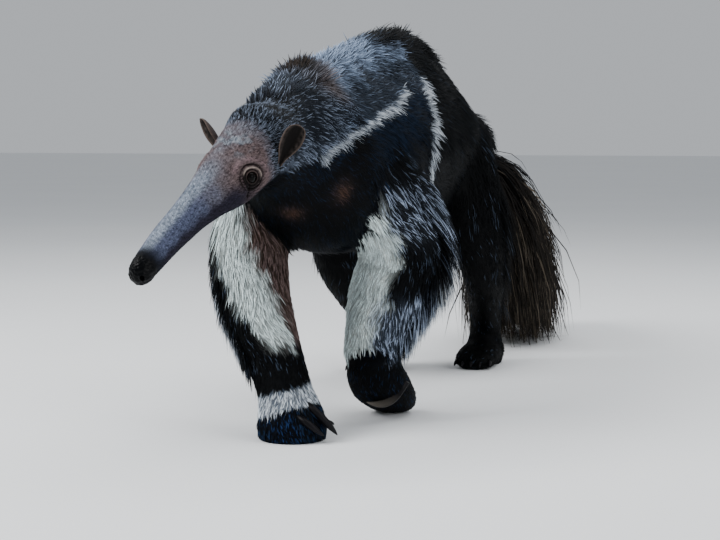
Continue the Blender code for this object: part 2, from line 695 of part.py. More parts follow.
def mane_locks(tree, start_y, end_y):
    """The crest from nape to rump: rows of locks that rise and lie back, longer towards the rump."""
    made = []
    for y in np.arange(start_y, end_y, MANE_SPACING):
        for row in (-1, 1):
            place = y + (0.25 * row + random.uniform(-0.2, 0.2)) * MANE_SPACING
            middle = spine_at(TRUNK_ROWS, place)
            lean = row * MANE_LEAN * min(1.0, 0.2 + abs(place) * 3) + random.uniform(-0.06, 0.06)
            way = Vector((math.sin(lean), -0.15, math.cos(lean))).normalized()
            root, normal = outward_hit(tree, middle, way)
            if root is None:
                continue
            length = varied(float(np.interp(place, MANE_LENGTHS[0], MANE_LENGTHS[1])), 0.2)
            slope = normal.cross(Vector((1, 0, 0))) * -1
            rise = WITHERS_RISE if abs(place) < 0.05 else MANE_RISE
            start = (normal * rise + slope + jitter(0.10)).normalized()
            end = (slope + Vector((row * 0.15, 0, -0.15)) + jitter(0.10)).normalized()
            width = varied(MANE_WIDTH, 0.25)
            made.append(lock(root, normal, start, end, length, width, LOCK_THICKNESS))
    return made


def flank_locks(tree, side, start_y, end_y):
    """Long coat low on the flank and over the haunch, lying back and down."""
    made = []
    for y in np.arange(start_y, end_y, FLANK_SPACING):
        for level in FLANK_LEVELS:
            place = y + random.uniform(-0.3, 0.3) * FLANK_SPACING
            middle = spine_at(TRUNK_ROWS, place)
            way = Vector((side * math.cos(level), 0, math.sin(level)))
            root, normal = outward_hit(tree, middle, way)
            if root is None:
                continue
            start = (way * 0.30 + Vector((0, 0.75, -0.75)) + jitter(0.12)).normalized()
            end = (way * 0.05 + Vector((0, 0.6, -0.9)) + jitter(0.12)).normalized()
            length = varied(FLANK_LENGTH, 0.25)
            width = varied(FLANK_WIDTH, 0.25)
            made.append(lock(root, normal, start, end, length, width, LOCK_THICKNESS))
    return made


def limb_locks(tree, rows, low, high, count, bearing, spread, length, hang):
    """A fringe on a limb between two heights, about a bearing (degrees from the animal's left)."""
    made = []
    heights = [row[2] for row in rows][::-1]
    for index in range(count):
        z = low + (high - low) * (index + random.uniform(0.2, 0.8)) / count
        x, y = (float(np.interp(z, heights, [row[k] for row in rows][::-1])) for k in (0, 1))
        angle = math.radians(bearing + spread * ((index * 0.618) % 1 * 2 - 1))
        way = Vector((math.cos(angle), math.sin(angle), 0))
        root, normal = outward_hit(tree, Vector((x, y, z)), way)
        if root is None:
            continue
        start = (way * 0.55 + Vector((0, 0, -1)) + jitter(0.15)).normalized()
        end = (way * hang + Vector((0, 0, -1)) + jitter(0.12)).normalized()
        width = varied(FRINGE_WIDTH, 0.25)
        made.append(lock(root, normal, start, end, varied(length, 0.2), width, LOCK_THICKNESS))
    return made


def tail_locks(tree):
    """The hanging curtain: long locks down both sides and below, shorter ones lying along the top."""
    made = []
    for y in np.arange(TAIL_START, TAIL_END, TAIL_SPACING):
        for bearing, length, drop in TAIL_BEARINGS:
            place = y + random.uniform(-0.4, 0.4) * TAIL_SPACING
            angle = math.radians(bearing + random.uniform(-8, 8))
            way = Vector((math.cos(angle), 0, math.sin(angle)))
            root, normal = outward_hit(tree, spine_at(TAIL_ROWS, place), way)
            if root is None:
                continue
            past = (place - TAIL_START) / (TAIL_END - TAIL_START)
            start = (way * 0.55 + Vector((0, 0.8 + 0.5 * past, -0.3 * drop)) + jitter(0.1)).normalized()
            end = (way * 0.22 + Vector((0, 0.45 + 1.1 * past ** 2, -drop)) + jitter(0.1)).normalized()
            size = varied(length * (1 - 0.25 * past), 0.15)
            fall = -(start.z + end.z) / 2
            if fall > 0:
                size = min(size, (root.z - FLOOR_CLEARANCE * 2) / fall)
            width = varied(TAIL_WIDTH, 0.25)
            made.append(lock(root, normal, start, end, size, width, LOCK_THICKNESS))
    return made


def coat_locks(parts):
    """Every node's locks by its name."""
    trees = {name: skin_tree(part) for name, part in parts.items()}
    made = {
        "torso": mane_locks(trees["torso"], -0.015, 0.93)
        + flank_locks(trees["torso"], 1, 0.46, 0.92)
        + flank_locks(trees["torso"], -1, 0.40, 0.92),
        "tail": tail_locks(trees["tail"]),
    }
    for name, rows, low, high, count, bearing, spread, length, hang in FRINGES:
        made.setdefault(name, [])
        made[name] += limb_locks(trees[name], rows, low, high, count, bearing, spread, length, hang)
    return made


def add_locks(part, name, locks):
    """Joins the locks to their node, then trims them to the node's own cell, clear of the earlier ones."""
    combine(part, locks, "UNION", "MANIFOLD")
    if name in CELL_ORDER:
        cut(part, cell(name, 0.0), "INTERSECT", "MANIFOLD")
    before = CELL_ORDER[:CELL_ORDER.index(name)] if name in CELL_ORDER else CELL_ORDER
    for other in before:
        cut(part, cell(other, GAP), "DIFFERENCE", "MANIFOLD")
    cut(part, head_cell(GAP), "DIFFERENCE", "MANIFOLD")
    return largest_surface(part)


def largest_surface(obj):
    """Keeps the closed surface of the most volume and drops loose scraps and sealed hollows."""
    bm = bmesh.new()
    bm.from_mesh(obj.data)
    left = set(bm.verts)
    shells = []
    while left:
        stack = [left.pop()]
        shell = list(stack)
        while stack:
            vert = stack.pop()
            for edge in vert.link_edges:
                other = edge.other_vert(vert)
                if other in left:
                    left.remove(other)
                    shell.append(other)
                    stack.append(other)
        faces = {face for vert in shell for face in vert.link_faces}
        volume = sum(
            face.calc_area() * face.normal.dot(face.calc_center_median()) / 3 for face in faces
        )
        shells.append((volume, shell))
    keep = max(shells, key=lambda pair: pair[0])[1]
    bmesh.ops.delete(bm, geom=list(set(bm.verts) - set(keep)), context="VERTS")
    bm.to_mesh(obj.data)
    bm.free()
    return obj


def parted(body):
    """The body's nodes by name, each cut out along its cell, and what is left as the torso."""
    parts = {}
    for name in CELL_ORDER:
        part = copy_of(body, name)
        cut(part, cell(name, 0.0), "INTERSECT")
        parts[name] = largest_surface(part)
        cut(body, cell(name, GAP))
    body.name = "torso"
    parts["torso"] = largest_surface(body)
    return parts


def finish(name, obj):
    """The object's own material, in its node's colour."""
    colour, roughness = next(look for words, *look in SURFACES if any(word in name for word in words))
    obj.data.materials.clear()
    obj.data.materials.append(material(name, colour, roughness))


def centre_over_origin():
    """Moves everything so that the bounding box's middle stands over the origin."""
    bpy.context.view_layer.update()
    corners = [vert.co for obj in bpy.context.scene.objects for vert in obj.data.vertices]
    middle = Vector([
        (min(c[axis] for c in corners) + max(c[axis] for c in corners)) / 2 for axis in range(2)
    ] + [0])
    for obj in bpy.context.scene.objects:
        obj.data.transform(Matrix.Translation(-middle))
    bpy.context.scene["shift"] = -middle


def main():
    clear_scene()
    random.seed(SEED)
    parts = parted(whole_body())
    for name, locks in coat_locks(parts).items():
        add_locks(parts[name], name, locks)
    parts["head"] = largest_surface(head())
    for side, label in ((1, "left"), (-1, "right")):
        parts[f"eye_{label}"] = eye(f"eye_{label}", side)
        parts[f"ear_{label}"] = ear(f"ear_{label}", side)
    for name, host, shape in claws():
        cut(parts[host], claw("room", *shape, grow=GAP))
        parts[name] = claw(name, *shape)
    for name, part in parts.items():
        finish(name, part)
    centre_over_origin()


main()
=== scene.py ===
import math

import bmesh
import bpy
import numpy as np
from mathutils import Matrix, Vector
from mathutils.bvhtree import BVHTree
from mathutils.kdtree import KDTree


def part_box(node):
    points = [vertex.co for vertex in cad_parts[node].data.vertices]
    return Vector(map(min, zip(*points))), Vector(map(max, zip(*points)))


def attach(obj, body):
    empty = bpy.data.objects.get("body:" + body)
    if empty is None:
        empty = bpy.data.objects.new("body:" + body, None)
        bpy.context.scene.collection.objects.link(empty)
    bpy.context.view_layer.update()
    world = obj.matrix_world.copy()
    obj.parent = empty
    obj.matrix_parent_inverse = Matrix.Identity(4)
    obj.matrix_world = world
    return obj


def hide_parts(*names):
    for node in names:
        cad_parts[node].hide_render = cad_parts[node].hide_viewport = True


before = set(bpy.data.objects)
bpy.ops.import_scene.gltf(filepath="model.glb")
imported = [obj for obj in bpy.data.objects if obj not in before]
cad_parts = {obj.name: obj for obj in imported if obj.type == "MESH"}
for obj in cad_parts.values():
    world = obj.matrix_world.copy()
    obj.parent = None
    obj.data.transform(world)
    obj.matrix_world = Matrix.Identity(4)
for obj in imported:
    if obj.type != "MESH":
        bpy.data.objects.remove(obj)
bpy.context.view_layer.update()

# The place of the animal: it is laid out from the point under its withers, facing -Y with its
# left side at +X, and then moved so that its left eye lies on the eye of the solids. The head
# turns to its right, looks down and tilts a little; its own axes run ahead, left and up.
HEAD_YAW = math.radians(15)
HEAD_PITCH = math.radians(34)
HEAD_ROLL = math.radians(4)
EYES_MIDDLE = np.array((-0.0232, -0.2388, 0.4319))
EYE_PLACE = (0.004, 0.0385, 0.003)  # ahead of the point between the eyes, outwards and up

ahead = Vector((
    -math.sin(HEAD_YAW) * math.cos(HEAD_PITCH),
    -math.cos(HEAD_YAW) * math.cos(HEAD_PITCH),
    -math.sin(HEAD_PITCH),
))
left = Vector((math.cos(HEAD_YAW), -math.sin(HEAD_YAW), 0))
left.rotate(Matrix.Rotation(-HEAD_ROLL, 3, ahead))
head_frame = np.array((ahead, left, left.cross(-ahead).normalized()))


def head_point(local):
    return EYES_MIDDLE + np.asarray(local, float) @ head_frame


def unit(vectors):
    return vectors / np.maximum(np.linalg.norm(vectors, axis=-1, keepdims=True), 1e-9)


def mirrored(local, side):
    return np.array((local[0], local[1] * side, local[2]))


shift = sum(np.array(corner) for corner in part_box("eye_left")) / 2 - head_point(EYE_PLACE)

# The studio: a pale matt floor, a pale surround and three large soft lamps. The camera is an
# 85 mm lens half a metre above the floor, turned 18 degrees and tipped a little down.
CAMERA_PLACE = (0.954, -2.613, 0.50)
CAMERA_TURN = math.radians(18)
CAMERA_TIP = math.atan(140 / 1700)
FLOOR_SIDE = 60.0
SURROUND_STRENGTH = 0.72
# Each lamp: its place, its side and its power.
LAMPS = (
    ((-2.4, -2.2, 3.0), 2.0, 190.0),
    ((0.6, 0.6, 3.6), 3.6, 110.0),
    ((3.0, -1.6, 1.4), 2.0, 42.0),
)
LAMPS_AIM = (0, -0.3, 0.35)


def linear(text):
    """Linear red, green and blue of an sRGB hex colour."""
    value = np.array([int(text[i:i + 2], 16) / 255 for i in (1, 3, 5)])
    return np.where(value <= 0.04045, value / 12.92, ((value + 0.055) / 1.055) ** 2.4)


def add(tree, kind, inputs=None, **settings):
    """A node with its settings; each input is a value, or the output that it is linked to."""
    made = tree.nodes.new(kind)
    for name, value in settings.items():
        setattr(made, name, value)
    for name, value in (inputs or {}).items():
        if isinstance(value, bpy.types.NodeSocket):
            tree.links.new(value, made.inputs[name])
        else:
            made.inputs[name].default_value = value
    return made


def finish_of(name, roughness, specular):
    """A new material with its node tree and its shader."""
    made = bpy.data.materials.new(name)
    made.use_nodes = True
    shader = made.node_tree.nodes["Principled BSDF"]
    shader.inputs["Roughness"].default_value = roughness
    shader.inputs["Specular IOR Level"].default_value = specular
    return made, made.node_tree, shader


def placed(name, data):
    made = bpy.data.objects.new(name, data)
    bpy.context.scene.collection.objects.link(made)
    return made


camera = placed("camera", bpy.data.cameras.new("camera"))
camera.data.lens = 85
camera.data.sensor_width = 36
camera.data.dof.use_dof = False
camera.location = Vector(CAMERA_PLACE) + Vector(shift)
look = Vector((
    -math.sin(CAMERA_TURN) * math.cos(CAMERA_TIP),
    math.cos(CAMERA_TURN) * math.cos(CAMERA_TIP),
    -math.sin(CAMERA_TIP),
))
camera.rotation_euler = look.to_track_quat("-Z", "Y").to_euler()
bpy.context.scene.camera = camera

for number, (place, side, power) in enumerate(LAMPS):
    lamp = placed(f"softbox_{number}", bpy.data.lights.new(f"softbox_{number}", "AREA"))
    lamp.data.shape = "SQUARE"
    lamp.data.size = side
    lamp.data.energy = power
    lamp.location = place
    lamp.rotation_euler = (Vector(LAMPS_AIM) - Vector(place)).to_track_quat("-Z", "Y").to_euler()

surround = bpy.data.worlds.new("surround")
surround.use_nodes = True
glow = surround.node_tree.nodes["Background"]
glow.inputs["Color"].default_value = (*linear("#d9dde2"), 1)
glow.inputs["Strength"].default_value = SURROUND_STRENGTH
bpy.context.scene.world = surround

corners = [(x * FLOOR_SIDE / 2, y * FLOOR_SIDE / 2, 0) for x, y in ((-1, -1), (1, -1), (1, 1), (-1, 1))]
floor = placed("floor", bpy.data.meshes.new("floor"))
floor.data.from_pydata(corners, [], [(0, 1, 2, 3)])
# Matt painted board: no gloss, and a faint unevenness of the paint.
paint, tree, shader = finish_of("matt painted board", 0.9, 0.1)
mottle = add(tree, "ShaderNodeTexNoise", {"Scale": 60.0, "Detail": 3.0})
tint = add(tree, "ShaderNodeMix", {
    0: mottle.outputs["Fac"],
    6: (*linear("#e9ebec"), 1),
    7: (*linear("#e3e5e7"), 1),
}, data_type="RGBA")
tree.links.new(tint.outputs[2], shader.inputs["Base Color"])
floor.data.materials.append(paint)

# The hide: one closed skin over skull, neck, trunk, tail and limbs, as it lies under the coat.
# It is lofted part by part through rings, joined and smoothed into one surface, and the face
# is then made finer and shaped: lids, brow, folds, nostrils and the line of the mouth.
# Each ring is its centre, half-width, reach up and down, and how much narrower its top is. The
# head's rings give the distance ahead of the eyes and the lift.
HEAD_ROWS = (
    (-0.140, -0.010, 0.046, 0.046, 0.050, 0.10),
    (-0.100, 0.002, 0.056, 0.060, 0.062, 0.10),
    (-0.065, 0.001, 0.054, 0.055, 0.057, 0.10),
    (-0.034, 0.001, 0.051, 0.052, 0.054, 0.10),
    (0.000, 0.001, 0.0465, 0.048, 0.051, 0.12),
    (0.030, 0.003, 0.0420, 0.043, 0.045, 0.14),
    (0.063, 0.006, 0.0350, 0.0365, 0.0370, 0.16),
    (0.107, 0.009, 0.0285, 0.0300, 0.0300, 0.14),
    (0.140, 0.010, 0.0260, 0.0275, 0.0270, 0.10),
    (0.178, 0.011, 0.0238, 0.0255, 0.0245, 0.06),
    (0.225, 0.009, 0.0210, 0.0225, 0.0212, 0.04),
    (0.246, 0.007, 0.0192, 0.0208, 0.0192, 0.02),
    (0.255, 0.006, 0.0160, 0.0172, 0.0160, 0.0),
    (0.260, 0.005, 0.0108, 0.0115, 0.0106, 0.0),
    (0.2625, 0.005, 0.0040, 0.0040, 0.0040, 0.0),
)

TRUNK_ROWS = (
    (-0.0166, -0.212, 0.452, 0.044, 0.044, 0.046, 0.10),
    (-0.010, -0.170, 0.466, 0.056, 0.058, 0.060, 0.12),
    (-0.006, -0.115, 0.472, 0.071, 0.088, 0.082, 0.22),
    (-0.003, -0.050, 0.470, 0.094, 0.118, 0.115, 0.36),
    (0.000, 0.030, 0.465, 0.120, 0.143, 0.155, 0.44),
    (0.000, 0.120, 0.458, 0.134, 0.170, 0.172, 0.50),
    (0.000, 0.250, 0.465, 0.136, 0.188, 0.182, 0.58),
    (0.000, 0.400, 0.480, 0.135, 0.200, 0.190, 0.66),
    (0.000, 0.545, 0.490, 0.133, 0.206, 0.190, 0.71),
    (0.003, 0.680, 0.485, 0.126, 0.194, 0.178, 0.72),
    (0.010, 0.780, 0.476, 0.110, 0.150, 0.155, 0.60),
    (0.024, 0.860, 0.470, 0.090, 0.098, 0.118, 0.36),
    (0.040, 0.930, 0.480, 0.062, 0.058, 0.080, 0.10),
    (0.050, 0.985, 0.462, 0.044, 0.042, 0.056, 0.0),
)

RIGHT_FORELEG_ROWS = (
    (-0.062, 0.080, 0.540, 0.040, 0.075),
    (-0.082, 0.078, 0.480, 0.052, 0.085),
    (-0.096, 0.072, 0.410, 0.064, 0.085),
    (-0.100, 0.050, 0.335, 0.066, 0.076),
    (-0.092, 0.020, 0.276, 0.066, 0.068),
    (-0.078, 0.000, 0.220, 0.063, 0.062),
    (-0.045, -0.022, 0.150, 0.055, 0.055),
    (-0.023, -0.034, 0.108, 0.050, 0.050),
    (-0.009, -0.042, 0.072, 0.050, 0.052),
    (0.001, -0.049, 0.042, 0.058, 0.058),
    (0.006, -0.052, 0.014, 0.061, 0.060),
    (0.006, -0.052, -0.010, 0.054, 0.054),
)

LEFT_FORELEG_ROWS = (
    (0.060, 0.120, 0.510, 0.045, 0.075),
    (0.088, 0.145, 0.420, 0.066, 0.094),
    (0.108, 0.205, 0.335, 0.076, 0.098),
    (0.108, 0.222, 0.275, 0.078, 0.094),
    (0.092, 0.195, 0.205, 0.072, 0.080),
    (0.084, 0.155, 0.145, 0.059, 0.064),
    (0.082, 0.134, 0.108, 0.053, 0.055),
)

LEFT_FOREPAW_ROWS = (
    (0.086, 0.118, 0.118, 0.042, 0.036, 0.034, 0.0),
    (0.084, 0.148, 0.086, 0.054, 0.040, 0.038, 0.0),
    (0.083, 0.184, 0.058, 0.059, 0.038, 0.034, 0.0),
    (0.082, 0.224, 0.034, 0.056, 0.032, 0.030, 0.0),
    (0.082, 0.256, 0.017, 0.048, 0.024, 0.023, 0.0),
    (0.082, 0.276, 0.008, 0.028, 0.012, 0.012, 0.0),
)

LEFT_HINDLEG_ROWS = (
    (0.060, 0.780, 0.500, 0.055, 0.100),
    (0.090, 0.755, 0.420, 0.062, 0.125),
    (0.108, 0.735, 0.340, 0.060, 0.115),
    (0.118, 0.755, 0.270, 0.054, 0.088),
    (0.112, 0.815, 0.195, 0.047, 0.062),
    (0.098, 0.885, 0.125, 0.042, 0.048),
    (0.090, 0.920, 0.080, 0.040, 0.044),
    (0.087, 0.925, 0.040, 0.044, 0.048),
    (0.087, 0.925, -0.010, 0.042, 0.046),
)

RIGHT_HINDLEG_ROWS = (
    (-0.060, 0.740, 0.500, 0.055, 0.100),
    (-0.094, 0.690, 0.420, 0.064, 0.128),
    (-0.124, 0.630, 0.340, 0.062, 0.118),
    (-0.138, 0.620, 0.270, 0.058, 0.092),
    (-0.132, 0.675, 0.195, 0.050, 0.066),
    (-0.118, 0.745, 0.125, 0.043, 0.050),
    (-0.110, 0.780, 0.080, 0.040, 0.044),
    (-0.108, 0.788, 0.040, 0.044, 0.048),
    (-0.108, 0.788, -0.010, 0.042, 0.046),
)

HINDFOOT_ROWS = (
    (0.055, 0.026, 0.022, 0.020, 0.030),
    (0.035, 0.026, 0.040, 0.034, 0.035),
    (0.000, 0.028, 0.044, 0.036, 0.038),
    (-0.050, 0.024, 0.048, 0.028, 0.034),
    (-0.085, 0.018, 0.046, 0.022, 0.028),
    (-0.106, 0.014, 0.030, 0.014, 0.024),
)

TAIL_ROWS = (
    (0.036, 0.900, 0.460, 0.062, 0.058, 0.085, 0.0),
    (0.050, 0.985, 0.432, 0.044, 0.044, 0.080, 0.0),
    (0.060, 1.080, 0.394, 0.038, 0.042, 0.105, 0.1),
    (0.062, 1.200, 0.346, 0.034, 0.044, 0.120, 0.1),
    (0.056, 1.320, 0.302, 0.029, 0.042, 0.110, 0.1),
    (0.044, 1.430, 0.262, 0.022, 0.036, 0.085, 0.1),
    (0.036, 1.500, 0.236, 0.013, 0.022, 0.045, 0.0),
    (0.032, 1.530, 0.226, 0.005, 0.010, 0.016, 0.0),
)
LEFT_HINDFOOT = (0.087, 0.915, 0.0)
RIGHT_HINDFOOT = (-0.108, 0.780, 0.0)
FINE_STEPS = 4
COAT_DEPTH = {
    "head": 0.0012, "trunk": 0.007, "tail": 0.014, "foreleg_right": 0.0055, "foreleg_left": 0.0055,
    "forepaw_left": 0.004, "hindleg_left": 0.008, "hindleg_right": 0.008,
    "hindfoot_left": 0.004, "hindfoot_right": 0.004,
}
NECK_DEPTH = 0.0015
SKIN_VOXEL = 0.0082
FLESH = [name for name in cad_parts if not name.startswith(("eye", "ear", "foreclaw", "hindclaw"))]


def smooth_rows(rows, steps):
    """The rows with new ones between them, on a Catmull-Rom curve through every column."""
    rows = np.array(rows, float)
    padded = np.vstack((2 * rows[0] - rows[1], rows, 2 * rows[-1] - rows[-2]))
    made = []
    for i in range(1, len(rows)):
        before, start, end, after = padded[i - 1:i + 3]
        for t in np.arange(steps) / steps:
            made.append(0.5 * (
                2 * start
                + (end - before) * t
                + (2 * before - 5 * start + 4 * end - after) * t ** 2
                + (3 * start - before - 3 * end + after) * t ** 3
            ))
    made.append(rows[-1])
    return np.array(made)


def rings_of(rows, kind, depth, steps=FINE_STEPS):
    """Rings of a loft as centre, along, side, up, half-width, reach up, reach down and narrowing."""
    rows = smooth_rows(rows, steps)
    if kind == "head":
        centres = head_point(np.stack((rows[:, 0], 0 * rows[:, 0], rows[:, 1]), 1))
        sizes = rows[:, 2:6]
    elif kind == "limb":
        centres = rows[:, :3]
        sizes = np.stack((rows[:, 3], rows[:, 4], rows[:, 4], 0 * rows[:, 4]), 1)
    else:
        centres = rows[:, :3]
        sizes = rows[:, 3:7]
    along = unit(np.vstack((centres[1] - centres[0], centres[2:] - centres[:-2], centres[-1] - centres[-2])))
    if kind == "head":
        side = np.repeat(head_frame[1:2], len(rows), 0)
        up = np.repeat(head_frame[2:3], len(rows), 0)
    elif kind == "limb":
        up = unit(np.cross(along, (1, 0, 0)))
        side = unit(np.cross(up, along))
    else:
        side = unit(np.cross(along, (0, 0, 1)))
        up = unit(np.cross(side, along))
    thin = sizes.copy()
    thin[:, :3] = np.maximum(sizes[:, :3] - np.reshape(depth, (-1, 1)), np.minimum(sizes[:, :3], 0.004))
    return {"centre": centres, "along": along, "side": side, "up": up, "size": thin}


def tube(rings, sides):
    """Points and faces of a closed tube through the rings."""
    angle = 2 * np.pi * np.arange(sides) / sides
    rise = np.sin(angle)
    wide, high, low, narrow = (rings["size"][:, i:i + 1] for i in range(4))
    across = np.cos(angle) * (1 - narrow * np.maximum(rise, 0) ** 1.5) * wide
    lift = np.where(rise > 0, rise * high, rise * low)
    points = (
        rings["centre"][:, None]
        + rings["side"][:, None] * across[..., None]
        + rings["up"][:, None] * lift[..., None]
    ).reshape(-1, 3)
    count = len(rings["centre"])
    k = np.arange(sides)
    faces = []
    for i in range(count - 1):
        row = np.stack((i * sides + k, i * sides + (k + 1) % sides, (i + 1) * sides + (k + 1) % sides, (i + 1) * sides + k), 1)
        faces += row.tolist()
    faces.append(k[::-1].tolist())
    faces.append(((count - 1) * sides + k).tolist())
    return points, faces


def foot_rows(place):
    return [(place[0], place[1] + reach, rise, wide, up, down, 0.0) for reach, rise, wide, up, down in HINDFOOT_ROWS]


def mesh_of(name, points, faces):
    mesh = bpy.data.meshes.new(name)
    mesh.from_pydata([tuple(p) for p in points], [], faces)
    return mesh


def as_shown(obj):
    """The object's mesh with its modifiers applied."""
    bpy.context.view_layer.update()
    mesh = bpy.data.meshes.new_from_object(obj.evaluated_get(bpy.context.evaluated_depsgraph_get()))
    obj.modifiers.clear()
    obj.data = mesh


def points_of(mesh):
    points = np.empty(len(mesh.vertices) * 3, np.float32)
    mesh.vertices.foreach_get("co", points)
    return points.reshape(-1, 3).astype(float)


def normals_of(mesh):
    normals = np.empty(len(mesh.vertices) * 3, np.float32)
    mesh.vertex_normals.foreach_get("vector", normals)
    return normals.reshape(-1, 3).astype(float)


def triangles_of(mesh):
    mesh.calc_loop_triangles()
    corners = np.empty(len(mesh.loop_triangles) * 3, np.int32)
    mesh.loop_triangles.foreach_get("vertices", corners)
    return corners.reshape(-1, 3)


trunk_depth = np.interp(
    smooth_rows(TRUNK_ROWS, FINE_STEPS)[:, 1], (-0.20, -0.05, 0.10), (NECK_DEPTH, 0.004, COAT_DEPTH["trunk"])
)
parts = {
    "head": rings_of(HEAD_ROWS, "head", COAT_DEPTH["head"]),
    "trunk": rings_of(TRUNK_ROWS, "spine", trunk_depth),
    "foreleg_right": rings_of(RIGHT_FORELEG_ROWS, "limb", COAT_DEPTH["foreleg_right"]),
    "foreleg_left": rings_of(LEFT_FORELEG_ROWS, "limb", COAT_DEPTH["foreleg_left"]),
    "hindleg_right": rings_of(RIGHT_HINDLEG_ROWS, "limb", COAT_DEPTH["hindleg_right"]),
    "hindleg_left": rings_of(LEFT_HINDLEG_ROWS, "limb", COAT_DEPTH["hindleg_left"]),
    "forepaw_left": rings_of(LEFT_FOREPAW_ROWS, "spine", COAT_DEPTH["forepaw_left"]),
    "hindfoot_right": rings_of(foot_rows(RIGHT_HINDFOOT), "spine", COAT_DEPTH["hindfoot_right"]),
    "hindfoot_left": rings_of(foot_rows(LEFT_HINDFOOT), "spine", COAT_DEPTH["hindfoot_left"]),
    "tail": rings_of(TAIL_ROWS, "spine", COAT_DEPTH["tail"]),
}
PART_NAMES = list(parts)
points = []
faces = []
for name, rings in parts.items():
    more, cells = tube(rings, 40 if name in ("head", "trunk") else 28)
    faces += [[index + len(points) for index in cell] for cell in cells]
    points += more.tolist()
skin = placed("hide", mesh_of("hide", points, faces))
modifier = skin.modifiers.new("Remesh", "REMESH")
modifier.mode = "VOXEL"
modifier.voxel_size = SKIN_VOXEL
modifier = skin.modifiers.new("Smooth", "SMOOTH")
modifier.factor = 0.5
modifier.iterations = 4
as_shown(skin)

# The face and eyes get finer meshes, ring by ring: each entry is a place and a radius.
fine_head = mesh_of("fine head", *tube(rings_of(HEAD_ROWS, "head", COAT_DEPTH["head"], 10), 96))
head_tree = BVHTree.FromPolygons([v.co.copy() for v in fine_head.vertices], [tuple(p.vertices) for p in fine_head.polygons])
SNOUT_TIP = (0.250, 0, 0.004)
REFINED = (
    [((-0.02, 0, 0.0), 0.088), ((0.06, 0, 0), 0.075), ((0.14, 0, 0.01), 0.07), ((0.22, 0, 0.008), 0.075)],
    [((-0.02, 0, 0.0), 0.080), ((0.06, 0, 0), 0.070), ((0.14, 0, 0.01), 0.06), ((0.22, 0, 0.008), 0.070)],
    [(EYE_PLACE, 0.038), (mirrored(EYE_PLACE, -1), 0.038), (SNOUT_TIP, 0.030)],
    [(EYE_PLACE, 0.0245), (mirrored(EYE_PLACE, -1), 0.0245), (SNOUT_TIP, 0.016)],
)


def onto_head(points):
    """Points near the face moved onto the head's exact surface, less and less towards the nape."""
    local = (points - EYES_MIDDLE) @ head_frame.T
    weight = np.clip((local[:, 0] + 0.095) / 0.03, 0, 1)
    moved = points.copy()
    for i in np.flatnonzero((weight > 0) & (np.linalg.norm(points - head_point((0.08, 0, 0)), axis=1) < 0.26)):
        place, _, _, distance = head_tree.find_nearest(Vector(points[i]))
        if place is not None and distance < 0.006:
            moved[i] += (np.array(place) - points[i]) * weight[i]
    return moved


for places in REFINED:
    bm = bmesh.new()
    bm.from_mesh(skin.data)
    co = np.array([v.co for v in bm.verts])
    inside = np.zeros(len(co), bool)
    for place, radius in places:
        inside |= np.linalg.norm(co - head_point(place), axis=1) < radius
    bm.verts.ensure_lookup_table()
    edges = [e for e in bm.edges if inside[e.verts[0].index] and inside[e.verts[1].index]]
    bmesh.ops.subdivide_edges(bm, edges=edges, cuts=1, use_grid_fill=True)
    bm.to_mesh(skin.data)
    bm.free()
    co = onto_head(points_of(skin.data))
    skin.data.vertices.foreach_set("co", co.ravel())
skin.data.update()

# Lids and brow: the opening's half-axes, the way of its longer one along the slit and up, the
# lid's thickness, and each fold round the eye as its distance in openings, its width, its height
# in metres, and whether it lies above or below.
EYE_RADIUS = 0.0098
EYE_LOOK = (0.30, 0.86, 0.30)
LID_OPENING = (0.0104, 0.0085)
LID_LEAN = (0.62, 0.785)
LID_THICKNESS = 0.0008
LID_BLEND = 0.0038
FOLDS_MIDDLE = (-0.0012, -0.0019)  # along the slit and up, from the eye
FOLDS_OVER = np.array((-0.83, 0.55))  # the upper folds lie up and back, the lower ones the other way
EYE_FOLDS = (
    (1.14, 0.06, 0.0003, 1), (1.36, 0.10, -0.0032, 1), (1.76, 0.17, 0.0030, 1), (2.28, 0.15, -0.0030, 1),
    (3.25, 0.45, 0.0028, 1),
    (1.14, 0.06, 0.0003, -1), (1.38, 0.11, -0.0010, -1), (1.68, 0.12, 0.0010, -1), (1.95, 0.12, -0.0018, -1),
    (2.25, 0.13, 0.0010, -1), (2.55, 0.12, -0.0014, -1),
)
TEAR_LINE = ((0.0100, -0.0045), (0.0160, -0.0110), (0.0225, -0.0200))
TEAR_HOLLOW = (0.0215, -0.0178)
FACE_CREASES = (0.0345, 0.0395, 0.0440)  # from the eye, behind it
NOSTRIL_PLACE = (0.2545, 0.0080, 0.0070)
NOSTRIL_SIZE = (0.0058, 0.0040, 0.0030)
MOUTH_LIFT = -0.0075
MOUTH_START = 0.234


def eye_axes(side):
    """Along the look, along the lid's slit towards the snout, and up across it, in the head's axes."""
    out = unit(mirrored(EYE_LOOK, side))
    slit = np.array((1.0, 0.0, -0.25))
    slit = unit(slit - out * (slit @ out))
    over = np.cross(out, slit)
    return out, slit, over * np.sign(over[2])


def bell(value, width):
    return np.exp(-(value / width) ** 2)


def ramp(value, start, end):
    t = np.clip((value - start) / (end - start), 0, 1)
    return t * t * (3 - 2 * t)


def waves(points, size, seed):
    """A soft random value from -1 to 1 that changes over about this many metres."""
    rng = np.random.default_rng(seed)
    total = np.zeros(len(points))
    for _ in range(7):
        way = unit(rng.normal(size=3)) * rng.uniform(0.6, 1.5) * 2 * np.pi / size
        total += np.sin(points @ way + rng.uniform(0, 2 * np.pi))
    return total / 3.5


